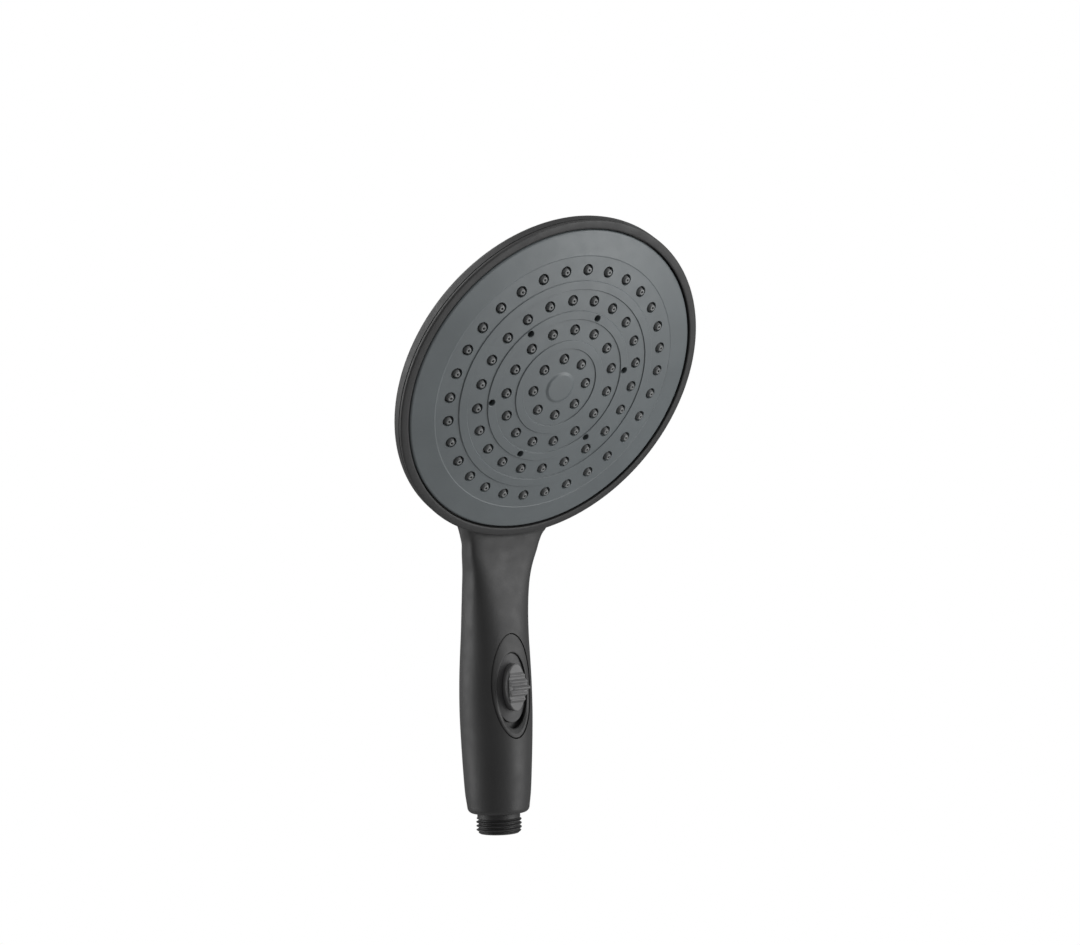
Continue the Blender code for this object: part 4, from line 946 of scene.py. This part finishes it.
def make_plate():
    """Bowed plate of the slider, with the finger that moves the spool and holes for the knob's pegs."""
    size = (PLATE_HALF_WIDTH, PLATE_HALF_HEIGHT, PLATE_Z, 0.0, PLATE_BACK, PLATE_FRONT, 0.35)
    # the plate wears the darker copy of the switch's grey: painted shade, not a colour of its own
    plate = outward(make_mesh("switch_plate", *bowed_oval(*size), PLATE_PAINTED_SHADE, sharp=40))
    low, high = (-1.6, -12.5, SLIDER_Z - 2.2), (1.6, -3.7, SLIDER_Z + 2.2)
    cut(plate, [block("finger", low, high)], "UNION")
    cut(plate, pegs("cut_peg", 1.8, 11.0, 14.6))
    plate.data.shade_smooth()
    plate.data.set_sharp_from_angle(angle=math.radians(40))
    return finish_piece(plate, "slider", "switch_grey", "slider_carrier")


def block(name, low, high):
    """Box between two corners."""
    spans = list(zip(low, high))
    corners = [(x, y, z) for x in spans[0] for y in spans[1] for z in spans[2]]
    faces = [(0, 1, 3, 2), (4, 6, 7, 5), (0, 4, 5, 1), (2, 3, 7, 6), (0, 2, 6, 4), (1, 5, 7, 3)]
    return outward(make_mesh(name, corners, faces, sharp=0))


def grip():
    """Ridged mound across the knob, highest in the middle and as wide as the knob's oval."""
    half, foot, inset = 6.95, 0.5, 0.4
    outline = [(-half, -foot), (-half, 0.0)]
    for i, rise in enumerate(RIDGE_CRESTS):
        middle = (i - 2) * RIDGE_STEP
        for offset, drop in ((-0.42, 0.22), (-0.22, 0.05), (0.0, 0.0), (0.22, 0.05), (0.42, 0.22)):
            outline.append((middle + offset, rise - drop))
        if i < len(RIDGE_VALLEYS):
            outline += [(middle + 1.15, RIDGE_VALLEYS[i]), (middle + 1.65, RIDGE_VALLEYS[i])]
    outline += [(half, 0.0), (half, -foot)]
    rings = []
    for share in (-1.0, -0.97, -0.9, -0.5, 0.0, 0.5, 0.9, 0.97, 1.0):
        ring = []
        for z, lift in outline:
            reach = KNOB_HALF_WIDTH * math.sqrt(1 - (z / KNOB_HALF_HEIGHT) ** 2) - inset
            rounding = max(0.0, lift) * 0.10 * (max(0.0, abs(share) - 0.9) / 0.1) ** 2
            ring.append((reach * share, -(KNOB_FRONT + lift - rounding), SLIDER_Z + z))
        rings.append(ring)
    return outward(make_mesh("grip", *skin(rings), sharp=0))


def make_knob():
    """Thumb knob: oval pad, ridged grip and two pegs into the plate."""
    size = (KNOB_HALF_WIDTH, KNOB_HALF_HEIGHT, SLIDER_Z, KNOB_BACK, KNOB_FRONT, 0.7)
    knob = outward(make_mesh("thumb_slider", *rounded_oval(*size), SWITCH, sharp=0))
    cut(knob, [grip()] + pegs("peg", 1.5, 12.6, 14.4), "UNION")
    bevel = knob.modifiers.new("soften", "BEVEL")
    bevel.width = 0.12 * MM
    bevel.segments = 2
    bevel.limit_method = "ANGLE"
    bevel.angle_limit = math.radians(35)
    apply_modifiers(knob)
    knob.data.shade_smooth()
    knob.data.set_sharp_from_angle(angle=math.radians(40))
    return finish_piece(knob, "slider", "switch_grey", "thumb_knob")


# ---- threaded inlet ------------------------------------------------------------------------------
def thread_radius(height, turn):
    """Radius of the rounded G1/2 thread at a height and a turn of 0 to 1, with lead-in and run-out."""
    phase = (height / THREAD_PITCH - turn) % 1.0
    tooth = 1.0 - abs(2 * phase - 1.0)
    tooth = np.clip(tooth * 1.32 - 0.20, 0.0, 1.0)
    tooth = smoothstep(tooth) * 0.35 + tooth * 0.65
    radius = THREAD_MINOR + (THREAD_MAJOR - THREAD_MINOR) * tooth
    radius = np.minimum(radius, 9.05 + 1.15 * height)
    fade = smoothstep((height - 6.6) / 0.9)
    return radius * (1 - fade) + NECK_RADIUS * fade


def make_inlet():
    """Hose inlet: helical thread, neck, collar, O-ring groove, stepped bore and rounded end."""
    sides, bore, collar, groove, mouth = 160, 8.2, 10.9, 9.6, 6.5
    rings = []
    for height in np.linspace(0.0, THREAD_END, 130):
        ring = []
        for i in range(sides):
            angle = 2 * math.pi * i / sides
            radius = float(thread_radius(height, i / sides))
            ring.append((radius * math.cos(angle), radius * math.sin(angle), float(height)))
        rings.append(ring)
    tail = [(NECK_RADIUS, 8.4), (NECK_RADIUS, 10.0), (collar, 10.06), (collar, 17.9), (groove, 17.9)]
    tail += [(groove, 19.8), (collar, 19.8), (collar, 23.85), (bore, 23.85), (bore, 11.16)]
    tail += [(mouth, 11.16), (mouth, 0.35), (6.85, 0.0), (8.9, 0.0)]
    rings += turned_rings(tail, sides)
    inlet = outward(make_mesh("threaded_inlet", *skin(rings, closed=True), BLACK, sharp=55))
    return finish_piece(inlet, "handle", "black_body", "inlet_fitting")


# ---- pieces kept from the frame ------------------------------------------------------------------
def dress_nodes():
    """Finish for the inner pieces that keep their frame shapes."""
    looks = {"seal_rubber": SEAL, "steel": STEEL, "inner_plastic": INNER, "switch_grey": SWITCH}
    for entry in frame["record"]["subparts"]:
        thing = frame["nodes"][entry["node"]]
        if thing.hide_render:
            continue
        thing.data.materials.clear()
        thing.data.materials.append(looks[entry["material_slot"]])


# ---- stage, lamps and camera ---------------------------------------------------------------------
def white_for_camera(tree, shade, output, kind):
    """Plain white where the camera sees the floor or world itself; the light stays as it is."""
    path = tree.nodes.new("ShaderNodeLightPath")
    glow = tree.nodes.new(kind)
    glow.inputs["Color"].default_value = (1.0, 1.0, 1.0, 1.0)
    glow.inputs["Strength"].default_value = 1.0
    mix = tree.nodes.new("ShaderNodeMixShader")
    tree.links.new(path.outputs["Is Camera Ray"], mix.inputs["Fac"])
    tree.links.new(shade.outputs[0], mix.inputs[1])
    tree.links.new(glow.outputs[0], mix.inputs[2])
    tree.links.new(mix.outputs["Shader"], output.inputs["Surface"])


def make_stage():
    """Pale floor far below the object, and an even white world."""
    size, height = 6000.0, -900.0
    corners = [(x * size, y * size, height) for x, y in ((-1, -1), (1, -1), (1, 1), (-1, 1))]
    floor = make_mesh("floor", corners, [(0, 1, 2, 3)], sharp=0)
    material = bpy.data.materials.new("pale_floor")
    material.use_nodes = True
    tree = material.node_tree
    shader = tree.nodes["Principled BSDF"]
    shader.inputs["Base Color"].default_value = (0.55, 0.55, 0.55, 1.0)
    shader.inputs["Roughness"].default_value = 0.9
    white_for_camera(tree, shader, tree.nodes["Material Output"], "ShaderNodeEmission")
    floor.data.materials.append(material)
    floor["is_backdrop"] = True
    world = bpy.data.worlds.new("studio")
    world.use_nodes = True
    bpy.context.scene.world = world
    tree = world.node_tree
    shade = tree.nodes["Background"]
    shade.inputs["Color"].default_value = (1.0, 1.0, 1.0, 1.0)
    shade.inputs["Strength"].default_value = 0.35
    white_for_camera(tree, shade, tree.nodes["World Output"], "ShaderNodeBackground")


# camera's own axes, the point it is aimed near, and its distance and offsets from there
BACK = Vector((-0.58408503, -0.80966732, 0.05730191))
RIGHT = Vector((0.8095695, -0.58620642, -0.03097192))
UP = Vector((0.0586677, 0.02829964, 0.99787636))
TARGET = Vector((0.0, 0.0, 140.0))
CAMERA_DISTANCE = 1758.57
CAMERA_RIGHT = 23.085
CAMERA_UP = 26.139
SENSOR_WIDTH = 36.0
LENS = 127.798333


def add_lamp(name, turn, lift, distance, width, height, power):
    """Soft box; turn is degrees to the right of the camera and lift degrees above the horizon."""
    forward = Vector((BACK.x, BACK.y, 0.0)).normalized()
    aside = Vector((RIGHT.x, RIGHT.y, 0.0)).normalized()
    flat = math.cos(math.radians(turn)) * forward + math.sin(math.radians(turn)) * aside
    way = math.cos(math.radians(lift)) * flat + Vector((0.0, 0.0, math.sin(math.radians(lift))))
    lamp = bpy.data.lights.new(name, "AREA")
    lamp.shape = "RECTANGLE"
    lamp.size = width
    lamp.size_y = height
    lamp.energy = power
    thing = bpy.data.objects.new(name, lamp)
    thing.location = (TARGET * MM) + way * distance
    thing.rotation_euler = way.to_track_quat("Z", "Y").to_euler()
    bpy.context.scene.collection.objects.link(thing)


def make_lamps():
    """Two tall side boxes and two weaker ones above, in front and behind."""
    add_lamp("soft_left", -92.0, 8.0, 1.3, 0.7, 1.6, 16.0)
    add_lamp("soft_right", 76.0, 0.0, 1.3, 0.7, 1.6, 20.0)
    add_lamp("soft_top", 40.0, 62.0, 1.6, 1.0, 1.0, 8.0)
    add_lamp("soft_back", -115.0, 50.0, 1.6, 1.0, 1.0, 9.0)


def make_camera():
    """Camera at the object's catalogue view."""
    camera = bpy.data.cameras.new("camera")
    camera.sensor_width = SENSOR_WIDTH
    camera.lens = LENS
    camera.clip_start = 0.05
    camera.clip_end = 30.0
    thing = bpy.data.objects.new("camera", camera)
    turn = Matrix((RIGHT, UP, BACK)).transposed().to_4x4()
    place = TARGET + BACK * CAMERA_DISTANCE + RIGHT * CAMERA_RIGHT + UP * CAMERA_UP
    thing.matrix_world = Matrix.Translation(place * MM) @ turn
    bpy.context.scene.collection.objects.link(thing)
    bpy.context.scene.camera = thing


make_shell()
make_rim()
make_face()
make_nozzles()
make_bezel()
make_plate()
make_knob()
make_inlet()
dress_nodes()
make_stage()
make_lamps()
make_camera()
bpy.context.scene.view_settings.view_transform = "Standard"
bpy.context.view_layer.update()
boxes = {"cad": cad_box, "visual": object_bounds()}
rows = {name: [list(map(float, corner)) for corner in pair] for name, pair in boxes.items()}
